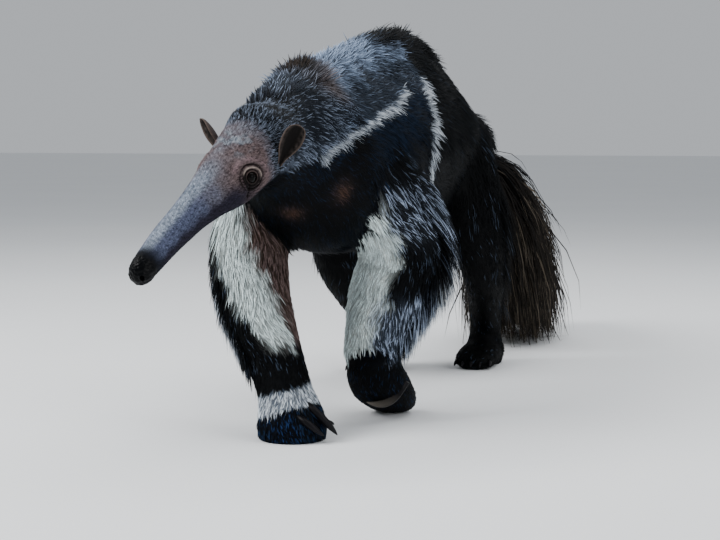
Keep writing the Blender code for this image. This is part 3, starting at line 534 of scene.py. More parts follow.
def round_eye(x, y):
    """Distance from the eye's middle in openings, and how far above the folds' turning line it is."""
    x, y = x - FOLDS_MIDDLE[0], y - FOLDS_MIDDLE[1]
    above = (x * FOLDS_OVER[0] + y * FOLDS_OVER[1]) / np.maximum(np.hypot(x, y), 1e-6)
    along, over = x * LID_LEAN[0] + y * LID_LEAN[1], y * LID_LEAN[0] - x * LID_LEAN[1]
    return np.hypot(along / LID_OPENING[0], over / LID_OPENING[1]), ramp(above, -0.12, 0.32)


def shape_face(points, normals):
    """The head's points with lids, folds, nostrils and the mouth's line pressed into them."""
    local = (points - EYES_MIDDLE) @ head_frame.T
    facing = normals @ head_frame.T
    for side in (1, -1):
        out, slit, over = eye_axes(side)
        from_eye = local - mirrored(EYE_PLACE, side)
        x, y, depth = from_eye @ slit, from_eye @ over, from_eye @ out
        reach = np.hypot(x, y)
        near = (reach < 0.050) & (depth > -0.022) & (facing @ out > 0.15)
        x, y, depth, reach = x[near], y[near], depth[near], reach[near]
        shell = EYE_RADIUS + LID_THICKNESS
        dome = np.where(reach < shell, np.sqrt(np.maximum(shell ** 2 - reach ** 2, 0)), -3 * (reach - shell))
        overlap = np.maximum(LID_BLEND - np.abs(depth - dome), 0) / LID_BLEND
        height = np.maximum(depth, dome) + LID_BLEND * overlap ** 2 / 4
        ring, above = round_eye(x, y)
        for distance, width, lift, where in EYE_FOLDS:
            height += bell(ring - distance, width) * lift * (above if where > 0 else 1 - above)
        behind = ramp(-x / np.maximum(reach, 1e-6), 0.1, 0.7)
        for distance in FACE_CREASES:
            wavy = distance + 0.0015 * np.sin(y * 420 + distance * 900)
            height -= bell(reach - wavy, 0.0014) * 0.0013 * behind
        for start, end in zip(TEAR_LINE, TEAR_LINE[1:]):
            start, end = np.array(start), np.array(end)
            t = np.clip(((x - start[0]) * (end - start)[0] + (y - start[1]) * (end - start)[1]) / ((end - start) @ (end - start)), 0, 1)
            gap = np.hypot(x - start[0] - t * (end - start)[0], y - start[1] - t * (end - start)[1])
            height -= bell(gap, 0.0014) * 0.0018
        height -= bell(np.hypot(x - TEAR_HOLLOW[0], y - TEAR_HOLLOW[1]), 0.0048) * 0.0055
        pocket = np.sqrt(np.maximum(EYE_RADIUS ** 2 - reach ** 2, 0)) - 0.0017
        height += (pocket - height) * ramp(ring, 1.02, 0.93)
        local[near] += (height - depth)[:, None] * out
        deep = unit(mirrored((0.8, 0.6, 0.2), side))
        rise = unit(mirrored((-0.25, 0.0, 1.0), side))
        rise = unit(rise - deep * (rise @ deep))
        wide = np.cross(deep, rise)
        hole = local - mirrored(NOSTRIL_PLACE, side)
        spot = np.hypot(hole @ rise / NOSTRIL_SIZE[1], hole @ wide / NOSTRIL_SIZE[2])
        near = (np.abs(hole @ deep) < 0.012) & (facing @ deep > 0)
        press = np.where(spot < 1, -NOSTRIL_SIZE[0] * np.sqrt(np.maximum(1 - spot ** 2, 0)), 0) + 0.0006 * bell(spot - 1.35, 0.25)
        local[near] += (press[:, None] * deep)[near]
    line = local[:, 2] - (MOUTH_LIFT + 0.10 * (local[:, 0] - 0.250))
    mouth = bell(line, 0.0009) * ramp(local[:, 0], MOUTH_START, MOUTH_START + 0.008) * 0.0022
    lips = (bell(line - 0.0022, 0.0012) + bell(line + 0.0022, 0.0012)) * ramp(local[:, 0], MOUTH_START, 0.246) * 0.0005
    rough = (waves(points, 0.0060, 14) * 0.00045 + waves(points, 0.0030, 15) * 0.00020) * ramp(local[:, 0], 0.226, 0.240)
    return EYES_MIDDLE + (local + (lips - mouth + rough)[:, None] * facing) @ head_frame


co = points_of(skin.data)
co = shape_face(co, normals_of(skin.data))
co[:, 2] = np.maximum(co[:, 2], 0.0006 - shift[2])
skin.data.vertices.foreach_set("co", co.ravel())
skin.data.update()

# How the coat lies and how it is marked. Each point of the hide is found in the part it belongs
# to: the hair lies backwards over head and trunk, down the limbs, and back and down on the tail.
STATION_GAP = 0.03


def find_parts(points):
    """For each point: its part, its place in the part's rings (across, up, along) and the coat's lie."""
    nearest = np.full((len(points), len(parts)), 9.0)
    places = np.zeros((len(points), len(parts), 3))
    flows = np.zeros((len(points), len(parts), 3))
    for number, (name, rings) in enumerate(parts.items()):
        count = len(rings["centre"])
        best = np.full(len(points), 99.0)
        total = np.zeros(len(points))
        for i in range(count):
            offset = points - rings["centre"][i]
            wide, high, low, _ = rings["size"][i]
            x = offset @ rings["side"][i] / max(wide, 0.004)
            rise = offset @ rings["up"][i]
            y = rise / np.where(rise > 0, max(high, 0.004), max(low, 0.004))
            t = offset @ rings["along"][i] / STATION_GAP
            far = np.sqrt(x * x + y * y + t * t)
            weight = np.exp(-5 * np.minimum(far, 12))
            flows[:, number] += weight[:, None] * rings["along"][i]
            total += weight
            better = far < best
            best = np.where(better, far, best)
            places[better, number] = np.stack((x, y, np.full(len(points), i / (count - 1))), 1)[better]
        nearest[:, number] = best
        flow = unit(flows[:, number])
        if name == "head":
            flow = np.repeat(-head_frame[:1], len(points), 0)
        elif name == "trunk":
            flow = flow + np.abs(places[:, number, :1]).clip(0, 1) * 0.55 * np.array((0, 0, -1.0))
        elif name == "tail":
            flow = flow + np.array((0, 0, -0.8))
        elif name.startswith("foreleg"):
            flow = flow + np.array((0, 0.20, 0))
        flows[:, number] = unit(flow)
    label = nearest.argmin(1)
    weight = np.exp(-9 * (nearest - nearest.min(1, keepdims=True)))
    lie = unit((flows * weight[..., None]).sum(1))
    return label, places[np.arange(len(points)), label], lie


def along_line(points, line):
    """Distance from a line of points, measured in a side view, the same on both sides of the animal."""
    line = np.array(line)
    best = np.full(len(points), 9.0)
    for start, end in zip(line[:-1], line[1:]):
        span = end - start
        t = np.clip((points - start) @ span / (span @ span), 0, 1)
        best = np.minimum(best, np.linalg.norm(points - start - t[:, None] * span, axis=1))
    return best


# Markings, as places on the animal in metres: stripes by their line in a side view (y, z).
UPPER_STRIPE = ((-0.085, 0.453), (-0.054, 0.472), (-0.013, 0.490), (0.062, 0.507), (0.135, 0.523), (0.218, 0.536), (0.286, 0.553), (0.330, 0.570))
REAR_STRIPE = ((0.467, 0.588), (0.445, 0.569), (0.418, 0.537), (0.392, 0.500), (0.366, 0.468), (0.351, 0.446), (0.360, 0.414), (0.372, 0.380))
UPPER_STRIPE_WIDTH = 0.0053
REAR_STRIPE_WIDTH = 0.0140
RUST_SPOTS = ((0.087, -0.027, 0.399), (0.014, -0.069, 0.366))
BROWN_PATCHES = ((0.030, -0.034, 0.580), (0.052, 0.020, 0.578))
# The blue tones over black hair are a painted sheen, a blue reflection of sky light on the glossy coat; the pale rim
# tone is painted rim light and the dark violet one painted shade.
TONES = {name: linear(code) for name, code in {
    "black": "#040506", "soot": "#0b1017", "blue_sheen": "#14263d", "slate": "#343e4c", "frost": "#8395b0",
    "ink": "#07080a", "plum": "#2e2426",
    "white": "#c6ced6", "cream": "#cbdada", "sand": "#848a88", "grey_white": "#8f9db4", "brown": "#7a685c",
    "dark_brown": "#2a211b", "rust": "#6b4a35", "mauve": "#7d6c6c", "violet": "#656c88", "painted_rim_light": "#a4afbf",
    "crown": "#aab0b8", "navy": "#1f2432", "pink": "#a08a84", "tail_dark": "#14110f", "tail_tip": "#655c50",
    "inner_leg": "#5b4c4a", "paw_blue_sheen": "#172c50", "violet_underside_shade": "#2c2939", "forehead": "#83828c", "pale_sand": "#b2b9b5",
}.items()}


def lay(dark, pale, share, mask, dark_tone, pale_tone, amount):
    """Lays two tones and the pale one's share over what is there, as strongly as the mask says."""
    mask = mask[:, None]
    dark += (TONES[dark_tone] - dark) * mask
    pale += (TONES[pale_tone] - pale) * mask
    share += (amount - share) * mask[:, 0]


def bearing_mask(place, middle, spread, soft=12.0):
    """How near a limb's place is to a bearing: 0 degrees is the animal's left and -90 its front."""
    bearing = np.degrees(np.arctan2(-place[:, 1], place[:, 0]))
    return ramp(np.abs((bearing - middle + 180) % 360 - 180), spread + soft, spread - soft)


def marked(points, label, place):
    """The coat's dark tone, its pale tone and the pale one's share of the tufts, at each point; some tones are painted
    sheen, rim light and shade.
    """
    dark = np.repeat(TONES["black"][None], len(points), 0)
    pale = np.repeat(TONES["slate"][None], len(points), 0)
    share = np.full(len(points), 0.14)
    fine = waves(points, 0.011, 2)
    ragged = waves(points, 0.030, 3)
    broad = waves(points, 0.110, 4)
    is_part = {name: label == number for number, name in enumerate(PART_NAMES)}
    y, z = points[:, 1], points[:, 2]
    side_view = points[:, 1:]
    stripes = []
    local = (points - EYES_MIDDLE) @ head_frame.T
    forward = local[:, 0]

    trunk = is_part["trunk"].astype(float)
    line_z = np.interp(y, [p[0] for p in UPPER_STRIPE], [p[1] for p in UPPER_STRIPE]) - 0.022 * ramp(y, -0.085, -0.19)
    height = z - line_z + 0.0025 * fine
    above = ramp(height, -0.002, 0.003)
    ahead_of_rear = ramp(y - np.interp(z, [p[1] for p in REAR_STRIPE[::-1]], [p[0] for p in REAR_STRIPE[::-1]]), 0.004, -0.004)
    frosted = ramp(height + 0.014 * broad, 0.040, 0.080)
    lay(dark, pale, share, trunk * above * ahead_of_rear, "soot", "frost", 0.12 + 0.78 * frosted)
    lay(dark, pale, share, trunk * ramp(place[:, 1] + 0.03 * ragged, 0.84, 0.96) * ramp(y, 0.26, 0.40), "black", "slate", 0.05)
    # Below the upper stripe the black coat carries a painted blue sheen, strongest next to the stripe.
    lay(dark, pale, share, trunk * (1 - above) * ahead_of_rear, "black", "blue_sheen", 0.12 + 0.40 * ramp(height, -0.10, -0.01) * ramp(y, -0.15, -0.05))
    lay(dark, pale, share, trunk * (1 - ahead_of_rear), "black", "slate", 0.03)
    for spot in BROWN_PATCHES:
        lay(dark, pale, share, trunk * 0.8 * bell(np.linalg.norm(points - spot, axis=1), 0.034), "dark_brown", "brown", 0.75)
    grey = np.interp(y, (-0.25, -0.12, -0.05, 0.03), (0.11, 0.11, 0.14, 0.14)) + 0.32 * ramp(height, 0.055, 0.0) + 0.05 * ragged
    lay(dark, pale, share, trunk * above * ramp(y, 0.02, -0.05), "soot", "grey_white", grey)
    throat = trunk * ramp(z - 0.9 * y + 0.006 * ragged, 0.505, 0.475) * ramp(y, 0.06, 0.0)
    # The throat is black with a touch of painted blue sheen.
    lay(dark, pale, share, throat, "black", "blue_sheen", 0.06)
    for spot in RUST_SPOTS:
        lay(dark, pale, share, trunk * 0.8 * bell(np.linalg.norm(points - spot, axis=1), 0.020), "dark_brown", "rust", 0.6)
    striped = np.maximum(trunk, is_part["foreleg_left"] | is_part["foreleg_right"])
    for line, width, strong in ((UPPER_STRIPE, UPPER_STRIPE_WIDTH, 0.95), (REAR_STRIPE, REAR_STRIPE_WIDTH, 0.80)):
        edge = width * (1.0 + 0.14 * ragged + 0.10 * fine)
        stripes.append((striped * ramp(along_line(side_view, line), edge + 0.0035, edge - 0.0035), strong))

    withers = trunk * bell(np.linalg.norm((points - (0.0, 0.012, 0.620)) * (0.8, 1, 0.6), axis=1), 0.033)
    lay(dark, pale, share, np.minimum(1.6 * withers, 1), "black", "dark_brown", 0.45)

    head = is_part["head"].astype(float)
    high = place[:, 1]
    lay(dark, pale, share, head, "plum", "forehead", 0.58)
    cheek = np.abs(local) * (0.75, 1, 1) - (0.0, 0.050, 0.0)
    flush = ramp(np.linalg.norm(cheek, axis=1) + 0.008 * ragged, 0.085, 0.035) * ramp(forward, 0.085, 0.030)
    lay(dark, pale, share, head * flush, "plum", "mauve", 0.56)
    lay(dark, pale, share, head * ramp(forward + 0.01 * ragged, 0.045, 0.13), "navy", "violet", 0.60)
    # A pale band over the top of the head and snout, from the eyes forward, is painted rim light.
    lay(dark, pale, share, head * ramp(high, 0.70, 1.0) * ramp(forward, 0.0, 0.09), "slate", "painted_rim_light", 0.56)
    # The lower side of the snout and jaw is painted darker, as shade beneath them.
    lay(dark, pale, share, head * ramp(high + 0.10 * ragged, 0.45, -0.20) * ramp(forward, -0.03, 0.04), "ink", "violet_underside_shade", 0.62)
    lay(dark, pale, share, head * ramp(forward + 0.004 * ragged, 0.208, 0.230), "ink", "navy", 0.45)
    lay(dark, pale, share, head * ramp(forward, 0.222, 0.238), "ink", "ink", 0.5)
    # A pale, patchy spot on the top of the crown, behind the eyes.
    crown_paling = bell(forward + 0.024, 0.022) * ramp(waves(points, 0.020, 12), -0.25, 0.45)
    lay(dark, pale, share, head * ramp(high, 0.55, 0.85) * crown_paling, "slate", "crown", 0.50)
    nape = -0.042 - 0.020 * ramp(high, -0.1, 0.8) + 0.005 * ragged + 0.003 * fine
    lay(dark, pale, share, head * ramp(forward - nape, 0.014, -0.014), "black", "grey_white", 0.20)
    # Under the back of the head the hair is black with a little painted blue sheen.
    lay(dark, pale, share, head * ramp(high, -0.55, -0.80) * ramp(forward, 0.02, -0.02), "black", "blue_sheen", 0.10)
    share += head * 0.30 * waves(points, 0.0050, 8) * ramp(forward, 0.225, 0.20)

    right = is_part["foreleg_right"].astype(float)
    lay(dark, pale, share, right, "black", "slate", 0.04)
    lay(dark, pale, share, right * bearing_mask(place, -25, 62) * ramp(z, 0.135, 0.165), "dark_brown", "inner_leg", 0.62)
    band = np.interp(z, (0.15, 0.36), (-52, -124))
    cream = bearing_mask(place, band + 9 * ragged, np.interp(z, (0.17, 0.36), (32, 38)))
    lay(dark, pale, share, right * cream * ramp(z + 0.014 * ragged, 0.140, 0.162) * ramp(z, 0.41, 0.37), "sand", "cream", 0.80)
    fringed = bearing_mask(place, -172, 20, 8) * ramp(z, 0.115, 0.135) * ramp(z + 0.02 * ragged, 0.235, 0.205)
    lay(dark, pale, share, right * fringed, "slate", "white", 0.62)
    slant = z - (0.064 + 0.30 * points[:, 0]) + 0.003 * ragged
    lay(dark, pale, share, right * ramp(np.abs(slant), 0.0200, 0.0155), "slate", "white", 0.60)
    # The forepaw's black hair carries a painted blue sheen, with a deeper blue painted highlight on its front.
    lay(dark, pale, share, right * ramp(slant, -0.016, -0.020), "black", "blue_sheen", 0.30)
    lay(dark, pale, share, right * ramp(slant, -0.018, -0.024) * bearing_mask(place, -85, 26), "black", "paw_blue_sheen", 0.26)

    left = is_part["foreleg_left"].astype(float)
    lay(dark, pale, share, left, "black", "slate", 0.08)
    lay(dark, pale, share, left * ramp(z, 0.28, 0.33) * ramp(z, 0.44, 0.38), "black", "grey_white", 0.24 + 0.08 * ragged)
    lay(dark, pale, share, left * bearing_mask(place, -40, 60) * ramp(z + 0.01 * ragged, 0.225, 0.195), "soot", "grey_white", 0.36)
    cream = bearing_mask(place, -138 + 8 * ragged, np.interp(z, (0.17, 0.30, 0.38), (62, 66, 70)))
    low = ramp(z + 0.014 * ragged, 0.098, 0.122)
    lay(dark, pale, share, left * cream * low, "pale_sand", "cream", 0.88)
    lay(dark, pale, share, left * bearing_mask(place, 22, 16, 7) * low * ramp(z, 0.31, 0.26), "slate", "white", 0.60)
    lay(dark, pale, share, left * (1 - low), "black", "slate", 0.03)
    # The left forepaw's black hair gets a little painted blue sheen.
    lay(dark, pale, share, is_part["forepaw_left"].astype(float), "black", "blue_sheen", 0.10)
    lay(dark, pale, share, (right + left) * above * ramp(z, 0.43, 0.46), "soot", "frost", 0.14 + 0.50 * frosted)
    for mask, strong in stripes:
        lay(dark, pale, share, mask, "slate", "white", strong)

    for name in ("hindleg_left", "hindleg_right", "hindfoot_left", "hindfoot_right"):
        lay(dark, pale, share, is_part[name].astype(float), "black", "slate", 0.02)
    tail = is_part["tail"].astype(float)
    lay(dark, pale, share, tail, "black", "tail_tip", 0.03)
    lay(dark, pale, share, tail * ramp(y + 0.03 * ragged, 0.98, 1.16), "tail_dark", "tail_tip", 0.08)
    return dark, pale, np.clip(share, 0, 1)


skin_points = points_of(skin.data)
skin_label, skin_place, skin_lie = find_parts(skin_points)
dark, pale, share = marked(skin_points, skin_label, skin_place)
on_face = (skin_label == 0)[:, None]
under = dark * (1 - share[:, None]) + pale * share[:, None]
# The hide is painted darker than the coat over it, as shade under the hair: a quarter darker under the face's short
# hair, much darker under the longer coat elsewhere.
under = np.where(on_face, under * 0.75, under * 0.35 + dark * 0.25)
# Bare skin round the eyes: each tone with its place in openings and its width, above and below. The pale tones on the
# raised brow and upper fold are partly painted highlight, and the near-black tones in the grooves between the folds are
# painted shade.
EYE_TONES_WITH_LIGHT_AND_SHADE = (
    (3.25, 0.42, "#7b676b", 1), (1.76, 0.14, "#8c8077", 1), (2.28, 0.19, "#070404", 1), (1.14, 0.07, "#4b3e38", 1),
    (1.36, 0.13, "#010101", 1),
    (1.68, 0.11, "#120d0b", -1), (2.25, 0.12, "#1c1514", -1), (1.14, 0.07, "#2a211d", -1), (1.40, 0.16, "#050403", -1),
    (1.95, 0.16, "#060404", -1), (2.55, 0.13, "#0c0909", -1),
)
local = (skin_points - EYES_MIDDLE) @ head_frame.T
for side in (1, -1):
    out, slit, over = eye_axes(side)
    x, y = (local - mirrored(EYE_PLACE, side)) @ slit, (local - mirrored(EYE_PLACE, side)) @ over
    near = (local[:, 1] * side > 0) & (np.hypot(x, y) < 0.05)
    ring, above = round_eye(x, y)
    # Below each eye the hide is painted darker, as shade under the eye.
    under *= 1 - 0.75 * (near * (1 - above) * ramp(ring, 3.0, 2.3))[:, None]
    for distance, width, code, where in EYE_TONES_WITH_LIGHT_AND_SHADE:
        mask = near * bell(ring - distance, width) * (above if where > 0 else 1 - above) * 0.9
        under += (linear(code) - under) * mask[:, None]
    # The hollow below and ahead of the eye is painted near-black, as shade in the hollow.
    hollow = near * bell(np.hypot(x - TEAR_HOLLOW[0], y - TEAR_HOLLOW[1]), 0.0075)
    under += (linear("#040303") - under) * hollow[:, None]
    # The pocket round the eyeball is painted near-black, as shade between lid and ball.
    under += (linear("#080606") - under) * (near * ramp(ring, 1.08, 1.01))[:, None]
colours = np.concatenate((under, np.ones((len(under), 1))), 1)
layer = skin.data.attributes.new("markings_and_shade", "FLOAT_COLOR", "POINT")
layer.data.foreach_set("color", colours.ravel().astype(np.float32))
skin.data.shade_smooth()
# Living hide under hair: matt, finely pored, a little oily on the muzzle. The pattern of the
# skin's grain is 1.2 mm, and a coarser one of 9 mm shifts its tone.
hide, tree, shader = finish_of("haired hide", 0.62, 0.06)
tone = add(tree, "ShaderNodeVertexColor", layer_name="markings_and_shade")
where = add(tree, "ShaderNodeTexCoord")
patch = add(tree, "ShaderNodeTexNoise", {"Vector": where.outputs["Object"], "Scale": 110.0, "Detail": 4.0})
depth = add(tree, "ShaderNodeMapRange", {"Value": patch.outputs["Fac"], "From Min": 0.3, "From Max": 0.7, "To Min": 0.72, "To Max": 1.25})
shade = add(tree, "ShaderNodeVectorMath", {0: tone.outputs["Color"], 1: depth.outputs["Result"]}, operation="MULTIPLY")
tree.links.new(shade.outputs["Vector"], shader.inputs["Base Color"])
grain = add(tree, "ShaderNodeTexNoise", {"Vector": where.outputs["Object"], "Scale": 830.0, "Detail": 3.0})
relief = add(tree, "ShaderNodeBump", {"Height": grain.outputs["Fac"], "Strength": 0.35, "Distance": 0.0006})
tree.links.new(relief.outputs["Normal"], shader.inputs["Normal"])
# The nose's bare end is wet: its roughness falls towards the tip.
wet = skin.data.attributes.new("wet", "FLOAT", "POINT")
wet.data.foreach_set("value", (ramp((skin_points - EYES_MIDDLE) @ head_frame[0], 0.222, 0.240) * on_face[:, 0]).astype(np.float32))
damp = add(tree, "ShaderNodeAttribute", attribute_name="wet")
gloss = add(tree, "ShaderNodeMapRange", {"Value": damp.outputs["Fac"], "To Min": 0.62, "To Max": 0.24})
tree.links.new(gloss.outputs["Result"], shader.inputs["Roughness"])
skin.data.materials.append(hide)


def set_on(piece, slot, *nodes):
    """The piece moved to the animal's place, riding on its body and standing for these solids."""
    piece.data.transform(Matrix.Translation(shift))
    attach(piece, "root")
    if nodes:
        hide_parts(*nodes)
    return piece


set_on(skin, "coat", *FLESH)

# The eyes: dark glass-like balls in their sockets, with a brown ring round a wide pupil and a
# slightly raised cornea. On a museum model they are glass, set in before the lids are formed.
CORNEA_RISE = 0.0007
IRIS_RADIUS = 0.0066
PUPIL_RADIUS = 0.0040
# Polished glass over dark brown, with the low gloss of a wet cornea and small sharp lights.
glass, tree, shader = finish_of("polished eye glass", 0.04, 0.13)
shader.inputs["IOR"].default_value = 1.34
rings = add(tree, "ShaderNodeVertexColor", layer_name="rings")
streaks = add(tree, "ShaderNodeTexNoise", {"Scale": 1400.0, "Detail": 2.0})
depth = add(tree, "ShaderNodeMapRange", {"Value": streaks.outputs["Fac"], "To Min": 0.6, "To Max": 1.4})
shade = add(tree, "ShaderNodeVectorMath", {0: rings.outputs["Color"], 1: depth.outputs["Result"]}, operation="MULTIPLY")
tree.links.new(shade.outputs["Vector"], shader.inputs["Base Color"])
for side, label in ((1, "left"), (-1, "right")):
    out, slit, over = (axis @ head_frame for axis in eye_axes(side))
    turn = np.linspace(0, 2 * np.pi, 48, endpoint=False)
    tilt = np.linspace(0, np.pi, 40)[1:-1]
    away = np.repeat(tilt, len(turn))
    round_ = np.tile(turn, len(tilt))
    spread = EYE_RADIUS * np.sin(away)
    height = EYE_RADIUS * np.cos(away) + np.where(away < 1.2, CORNEA_RISE * np.maximum(1 - (spread / 0.0072) ** 2, 0), 0)
    points = (spread * np.cos(round_))[:, None] * slit + (spread * np.sin(round_))[:, None] * over + height[:, None] * out
    ends = np.array(((EYE_RADIUS + CORNEA_RISE) * out, -EYE_RADIUS * out))
    points = np.vstack((points, ends)) + head_point(mirrored(EYE_PLACE, side))
    k = np.arange(48)
    faces = []
    for i in range(len(tilt) - 1):
        faces += np.stack((i * 48 + k, (i + 1) * 48 + k, (i + 1) * 48 + (k + 1) % 48, i * 48 + (k + 1) % 48), 1).tolist()
    top, bottom = len(points) - 2, len(points) - 1
    faces += [(top, int(i), int((i + 1) % 48)) for i in k]
    last = (len(tilt) - 1) * 48
    faces += [(bottom, int(last + (i + 1) % 48), int(last + i)) for i in k]
    ball = placed(f"eyeball_{label}", mesh_of(f"eyeball_{label}", points, faces))
    spread = np.append(spread, (0, 0.02))
    tint = np.repeat(linear("#020202")[None], len(spread), 0)
    ring = (ramp(spread, PUPIL_RADIUS, PUPIL_RADIUS + 0.0006) * ramp(spread, IRIS_RADIUS + 0.0008, IRIS_RADIUS))[:, None]
    tint += (linear("#0a0605") - tint) * ring
    white_of_eye = ramp(spread, IRIS_RADIUS + 0.0006, IRIS_RADIUS + 0.0014)[:, None]
    tint += (linear("#0c0908") - tint) * white_of_eye
    layer = ball.data.attributes.new("rings", "FLOAT_COLOR", "POINT")
    layer.data.foreach_set("color", np.concatenate((tint, np.ones((len(tint), 1))), 1).ravel().astype(np.float32))
    ball.data.shade_smooth()
    ball.data.materials.append(glass)
    set_on(ball, "eye", f"eye_{label}")

# The ears: small thin leaves of skin-covered gristle, cupped forwards, with a rolled rim. They
# stand in the coat behind the eyes, and their roots are set into the head.
EAR_ROOT = (-0.065, 0.050, -0.012)
EAR_TIP = (-0.088, 0.088, 0.042)
EAR_FACES = (0.867, 0.498, 0.013)
EAR_WIDTH = 0.034
EAR_DEPTH = 0.019
EAR_THICK = 0.0022
EAR_STATIONS = (0.0, 0.10, 0.20, 0.30, 0.40, 0.50, 0.60, 0.68, 0.76, 0.83, 0.89, 0.94, 0.975, 1.0)
EAR_SHARES = (0.20, 0.26, 0.42, 0.62, 0.79, 0.91, 0.98, 1.0, 0.98, 0.92, 0.82, 0.66, 0.45, 0.10)
EAR_SUNK = 0.007
# Thin soft skin with a velvet of hair: matt and warm at the rim. The cup's skin is dark, with painted shade making it
# nearly black deep in the hollow and painted light paling it towards its edges.
velvet, tree, shader = finish_of("velvet ear skin", 0.75, 0.08)
tone = add(tree, "ShaderNodeVertexColor", layer_name="markings_and_shade")
patch = add(tree, "ShaderNodeTexNoise", {"Scale": 260.0, "Detail": 4.0})
depth = add(tree, "ShaderNodeMapRange", {"Value": patch.outputs["Fac"], "From Min": 0.3, "From Max": 0.7, "To Min": 0.7, "To Max": 1.3})
shade = add(tree, "ShaderNodeVectorMath", {0: tone.outputs["Color"], 1: depth.outputs["Result"]}, operation="MULTIPLY")
tree.links.new(shade.outputs["Vector"], shader.inputs["Base Color"])
grain = add(tree, "ShaderNodeTexNoise", {"Scale": 1100.0, "Detail": 2.0})
relief = add(tree, "ShaderNodeBump", {"Height": grain.outputs["Fac"], "Strength": 0.4, "Distance": 0.0005})
tree.links.new(relief.outputs["Normal"], shader.inputs["Normal"])
ears = {}
for side, label in ((1, "left"), (-1, "right")):
    tip_way = unit(np.array(EAR_TIP) - np.array(EAR_ROOT))
    facing = np.array(EAR_FACES) - tip_way * (np.array(EAR_FACES) @ tip_way)
    length = np.linalg.norm(np.array(EAR_TIP) - np.array(EAR_ROOT))
    tip_way, facing = (unit(mirrored(way, side)) @ head_frame for way in (tip_way, facing))
    across = np.cross(tip_way, facing)
    rows, columns = 30, 29
    t = np.linspace(0, 1, rows)[:, None]
    v = np.linspace(-1, 1, columns)[None]
    half_width = EAR_WIDTH / 2 * np.interp(t, EAR_STATIONS, EAR_SHARES)
    cup = EAR_DEPTH * (0.86 - 0.45 * t) * (half_width / (EAR_WIDTH / 2)) * (1 - np.abs(v) ** 2.2)
    wavy = 0.0010 * np.sin(9 * t + 2) * v ** 2
    middle = head_point(mirrored(EAR_ROOT, side)) - tip_way * EAR_SUNK
    sheet = (
        middle
        + ((length + EAR_SUNK) * t)[..., None] * tip_way
        + (half_width * v)[..., None] * across
        + (EAR_DEPTH * 0.42 - cup + wavy)[..., None] * facing
    )
    inward = (facing + across * (-0.55 * v)[..., None]) * np.ones((rows, columns, 1))
    inward = unit(inward)
    thick = (EAR_THICK * (0.55 + 0.45 * np.sqrt(np.maximum(1 - np.abs(v) ** 6, 0))) * (1 - 0.35 * t))[..., None]
    inner = sheet + inward * thick
    points = np.vstack((sheet.reshape(-1, 3), inner.reshape(-1, 3)))
    total = rows * columns
    faces = []
    for i in range(rows - 1):
        for j in range(columns - 1):
            a = i * columns + j
            faces.append((a, a + columns, a + columns + 1, a + 1))
            faces.append((total + a, total + a + 1, total + a + columns + 1, total + a + columns))
    edge = [j for j in range(columns)] + [i * columns + columns - 1 for i in range(1, rows)]
    edge += [(rows - 1) * columns + j for j in range(columns - 2, -1, -1)] + [i * columns for i in range(rows - 2, 0, -1)]
    for a, b in zip(edge, edge[1:] + edge[:1]):
        faces.append((a, b, total + b, total + a))
    bm = bmesh.new()
    for point in points:
        bm.verts.new(point)
    bm.verts.ensure_lookup_table()
    for face in faces:
        bm.faces.new([bm.verts[i] for i in face])
    bmesh.ops.recalc_face_normals(bm, faces=bm.faces)
    if bm.calc_volume(signed=True) < 0:
        bmesh.ops.reverse_faces(bm, faces=bm.faces)
    ear = placed(f"ear_cup_{label}", bpy.data.meshes.new(f"ear_cup_{label}"))
    bm.to_mesh(ear.data)
    bm.free()
    along = np.concatenate([np.repeat(t[:, 0], columns)] * 2)
    over = np.abs(np.concatenate([np.tile(v[0], rows)] * 2))
    is_inner = np.arange(2 * total) >= total
    tint = np.where(is_inner[:, None], linear("#12100f"), linear("#463e3c"))
    # Painted light in the cup: paler towards its edges, nearly black as painted shade in its middle.
    cup_edge_light = (is_inner * ramp(over, 0.35, 0.90) * (0.38 + 0.40 * waves(points, 0.007, 16)))[:, None].clip(0, 1)
    tint = tint + (linear("#4d4541") - tint) * cup_edge_light
    rim = np.maximum(ramp(over, 0.86, 0.98), ramp(along, 0.95, 0.995))[:, None]
    tint = tint + (linear("#5f524b") - tint) * rim * 0.8
    layer = ear.data.attributes.new("markings_and_shade", "FLOAT_COLOR", "POINT")
    layer.data.foreach_set("color", np.concatenate((tint, np.ones((len(tint), 1))), 1).ravel().astype(np.float32))
    ear.data.shade_smooth()
    ear.data.materials.append(velvet)
    ears[label] = ear

# The claws: long curved horns, flattened at the sides, three large ones on a forefoot that are
# carried turned in and back so that their points stay off the ground, and five short on a hind
# foot. Each grows out of its toe.
# Each one's root, way at the root, way at the tip, length and radius, and the worn tip's colour.
RIGHT_FORECLAWS = (
    ((0.050, -0.068, 0.050), (0.80, -0.05, -0.60), (0.23, 0.69, -0.68), 0.062, 0.0085),
    ((0.042, -0.090, 0.036), (0.85, -0.10, -0.50), (0.45, 0.70, -0.60), 0.042, 0.0070),
    ((0.052, -0.030, 0.028), (1.00, 0.35, -0.10), (0.10, 1.00, -0.55), 0.026, 0.0045),
)
LEFT_FORECLAWS = (
    ((0.066, 0.262, 0.018), (0.05, 1.00, -0.15), (0.00, 0.35, 1.00), 0.040, 0.0062),
    ((0.120, 0.163, 0.050), (-0.55, -0.05, -0.83), (-0.95, -0.05, 0.30), 0.072, 0.0080),
    ((0.102, 0.262, 0.018), (0.05, 1.00, -0.15), (0.00, 0.35, 1.00), 0.030, 0.0055),
)
WORN_RIGHT = "#100f13"
WORN_LEFT = "#6b655d"
HINDCLAW_LENGTH = 0.024
HINDCLAW_RADIUS = 0.0048
HINDCLAW_SPREAD = 0.034
HINDCLAW_ROOT = (-0.098, 0.0155)
HINDCLAW_SETBACK = 0.012
CLAW_SIDES = 16
CLAW_RINGS = 14
